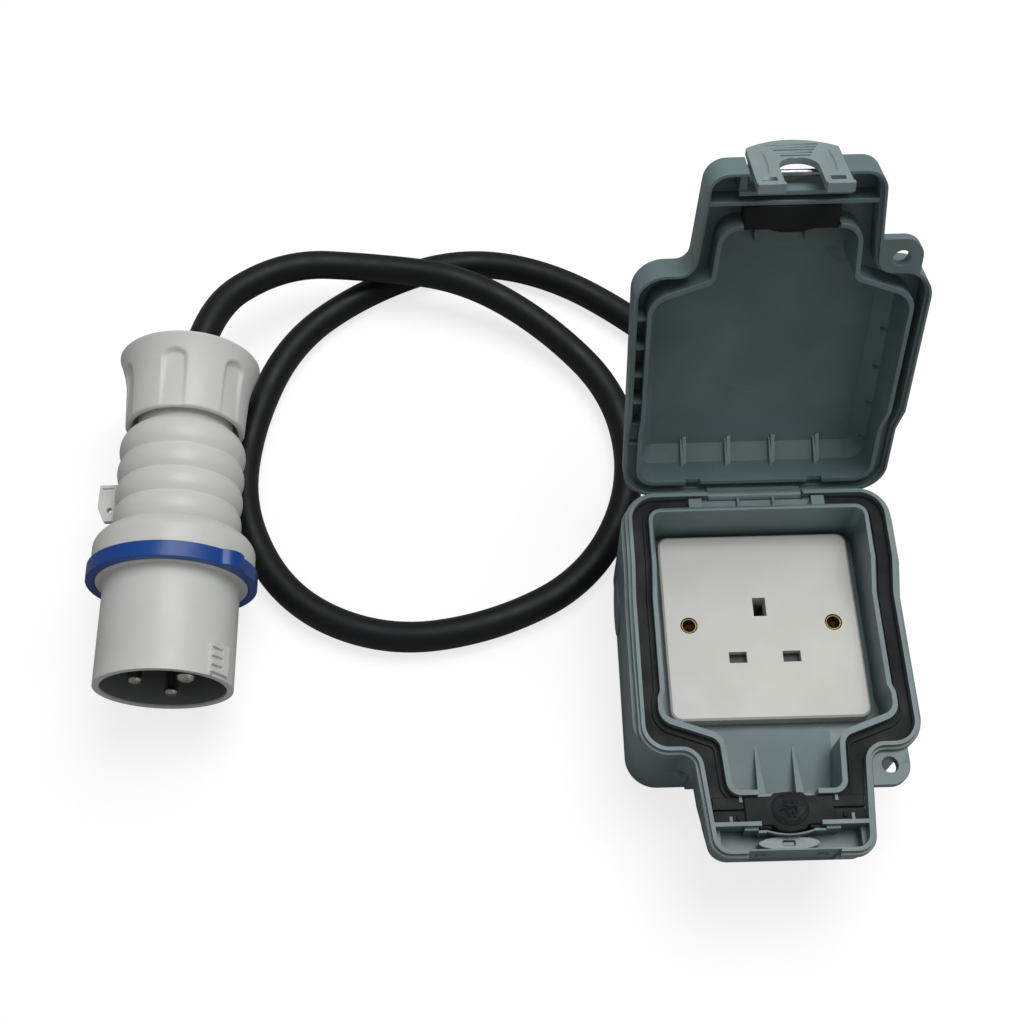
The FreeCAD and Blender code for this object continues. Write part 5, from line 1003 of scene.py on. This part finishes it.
class PlugOperator(bpy.types.Operator):
    """Housing, ring, pins and nut of the round plug"""
    bl_idname = "socket_lead.plug"
    bl_label = "Round plug"

    # Section of a dark sheet inside the mouth, in the carrier's grey, which paints the shade in
    # the mouth: radius and height, in millimetres
    SHADE_LINER = [(25.95, 4.2), (25.95, 44.6), (25.7, 44.6), (25.6, 44.2), (25.6, 4.2)]

    # Section of the round shoulder behind the ring: radius and height, in millimetres
    SHOULDER = [
        (34.45, -13.5), (34.5, -15.0), (34.3, -16.4), (33.7, -17.9), (32.7, -19.4), (31.3, -20.8),
        (29.6, -22.1), (28.6, -22.8), (27.8, -22.8), (30.0, -18.0), (32.0, -14.0)]

    # Cable nut: radius and height of its front and of its back and bore, in millimetres
    NUT_MOUTH = -75.2
    NUT_FRONT = [
        (23.6, -84.0), (23.6, -76.0), (23.9, -75.4), (24.4, NUT_MOUTH), (25.6, NUT_MOUTH)]
    NUT_BACK = [
        (31.1, -110.3), (30.3, -110.7), (9.1, -110.7), (8.3, -109.9), (8.3, -107.7),
        (18.6, -107.7), (18.6, -92.3), (21.3, -92.3), (21.3, -84.0)]

    # Its outside: where it starts, how long it is, its least radius, how much it widens evenly
    # and how much it flares besides, past a share of its length
    NUT_START, NUT_LENGTH, NUT_RADIUS = -75.9, 33.9, 26.3
    NUT_TAPER, NUT_FLARE, FLARE_FROM = 1.9, 3.3, 0.45
    NUT_STEPS = 60

    # Its hollows: how many, half their width, the height and rise of the arch where they end, the
    # length over which they fade there, their depth at the front of the nut and its growth for
    # each millimetre backwards, the share of their width that their edges take, and how much
    # shallower they are at the edges than in the middle
    FLUTES, FLUTE_REACH = 6, 5.6
    ARCH_HEIGHT, ARCH_RISE, ARCH_FADE = -98.5, 4.0, 1.4
    FLUTE_DEPTH, FLUTE_GROWTH = 0.35, 0.066
    FLUTE_EDGE, FLUTE_CROWN = 0.16, 0.35

    def nut_loop(self):
        """Section of the cable nut, its outside drawn finely, in millimetres."""
        outside = []
        for step in range(self.NUT_STEPS + 1):
            along = step / self.NUT_STEPS
            flared = max(0.0, (along - self.FLARE_FROM) / (1.0 - self.FLARE_FROM))
            radius = self.NUT_RADIUS + self.NUT_TAPER * along + self.NUT_FLARE * flared ** 2
            outside.append((radius, self.NUT_START - self.NUT_LENGTH * along))
        return self.NUT_FRONT + outside + self.NUT_BACK

    def flute(self, radius, height, angle):
        """How deep a hollow lies at a place on the nut."""
        pitch = math.tau / self.FLUTES
        across = abs(radius * (angle % pitch - pitch / 2.0)) / self.FLUTE_REACH
        arch = self.ARCH_HEIGHT - self.ARCH_RISE * math.sqrt(max(0.0, 1.0 - across ** 2))
        ahead = height - arch + self.ARCH_FADE / 2.0
        if radius < self.NUT_RADIUS or across >= 1.0 or ahead < 0.0:
            return 0.0
        fade = min(1.0, ahead / self.ARCH_FADE)
        edge = min(1.0, (1.0 - across) / self.FLUTE_EDGE)
        depth = self.FLUTE_DEPTH + self.FLUTE_GROWTH * (self.NUT_MOUTH - height)
        return depth * fade * edge * (1.0 - self.FLUTE_CROWN * across ** 2)

    def execute(self, context):
        sizes = context.scene.lead_sizes
        for node, name, slot in (
                ("plug_shroud", "plug_sleeve", "plug_grey"),
                ("plug_body", "plug_housing", "plug_grey"),
                ("colour_ring", "blue_ring", "ring_blue"),
                ("pin_carrier", "pin_block", "carrier_grey"),
                ("plug_line_pin", "line_pin", "nickel"),
                ("plug_neutral_pin", "neutral_pin", "nickel"),
                ("plug_earth_pin", "earth_pin", "nickel")):
            width = sizes.fine_edge if node == "plug_shroud" else sizes.edge
            put(name, softened(merged_copy(node), width), "base", slot, (node,))
        # The dark sheet in the mouth is painted shade over the shroud's inner side
        put("mouth_liner", turned(self.SHADE_LINER, 128, plain_ring, on_plug), "base", "carrier_grey")
        put("collar_shoulder", turned(self.SHOULDER, 128, plain_ring, on_plug), "base",
            "plug_grey")
        put("plug_nut", turned(self.nut_loop(), 240, self.flute, on_plug), "base", "plug_grey",
            ("plug_cable_nut",))
        dress_nodes("carrier_grey", "plug_cord_clamp")
        dress_nodes("black_rubber", "plug_seal")
        dress_nodes("steel", "plug_terminal_screws")
        dress_nodes("core_brown", "plug_line_core")
        dress_nodes("core_blue", "plug_neutral_core")
        dress_nodes("core_green", "plug_earth_core")
        return {"FINISHED"}


class LeadPanel(bpy.types.Panel):
    """Settings and pieces of the adapter lead"""
    bl_idname = "VIEW3D_PT_socket_lead"
    bl_label = "Adapter Lead"
    bl_space_type = "VIEW_3D"
    bl_region_type = "UI"
    bl_category = "Adapter Lead"

    def draw(self, context):
        for operator in STEPS:
            self.layout.operator(operator.bl_idname)
        for settings in (context.scene.lead_sizes, context.scene.lead_colours,
                         context.scene.lead_studio):
            box = self.layout.box()
            for name in settings.bl_rna.properties.keys():
                if name not in ("rna_type", "name"):
                    box.prop(settings, name)


STEPS = (
    StageOperator, EnclosureOperator, LidOperator, LatchOperator, GasketOperator, SocketOperator,
    GlandOperator, PlugOperator, FlexOperator)
SETTINGS = (LeadColours, LeadSizes, StudioSettings)


def register():
    for kind in SETTINGS + STEPS + (LeadPanel,):
        bpy.utils.register_class(kind)
    bpy.types.Scene.lead_colours = bpy.props.PointerProperty(type=LeadColours)
    bpy.types.Scene.lead_sizes = bpy.props.PointerProperty(type=LeadSizes)
    bpy.types.Scene.lead_studio = bpy.props.PointerProperty(type=StudioSettings)


def unregister():
    del bpy.types.Scene.lead_colours
    del bpy.types.Scene.lead_sizes
    del bpy.types.Scene.lead_studio
    for kind in reversed(SETTINGS + STEPS + (LeadPanel,)):
        bpy.utils.unregister_class(kind)


def main():
    register()
    for operator in STEPS:
        family, name = operator.bl_idname.split(".")
        getattr(getattr(bpy.ops, family), name)()


if __name__ == "__main__":
    main()
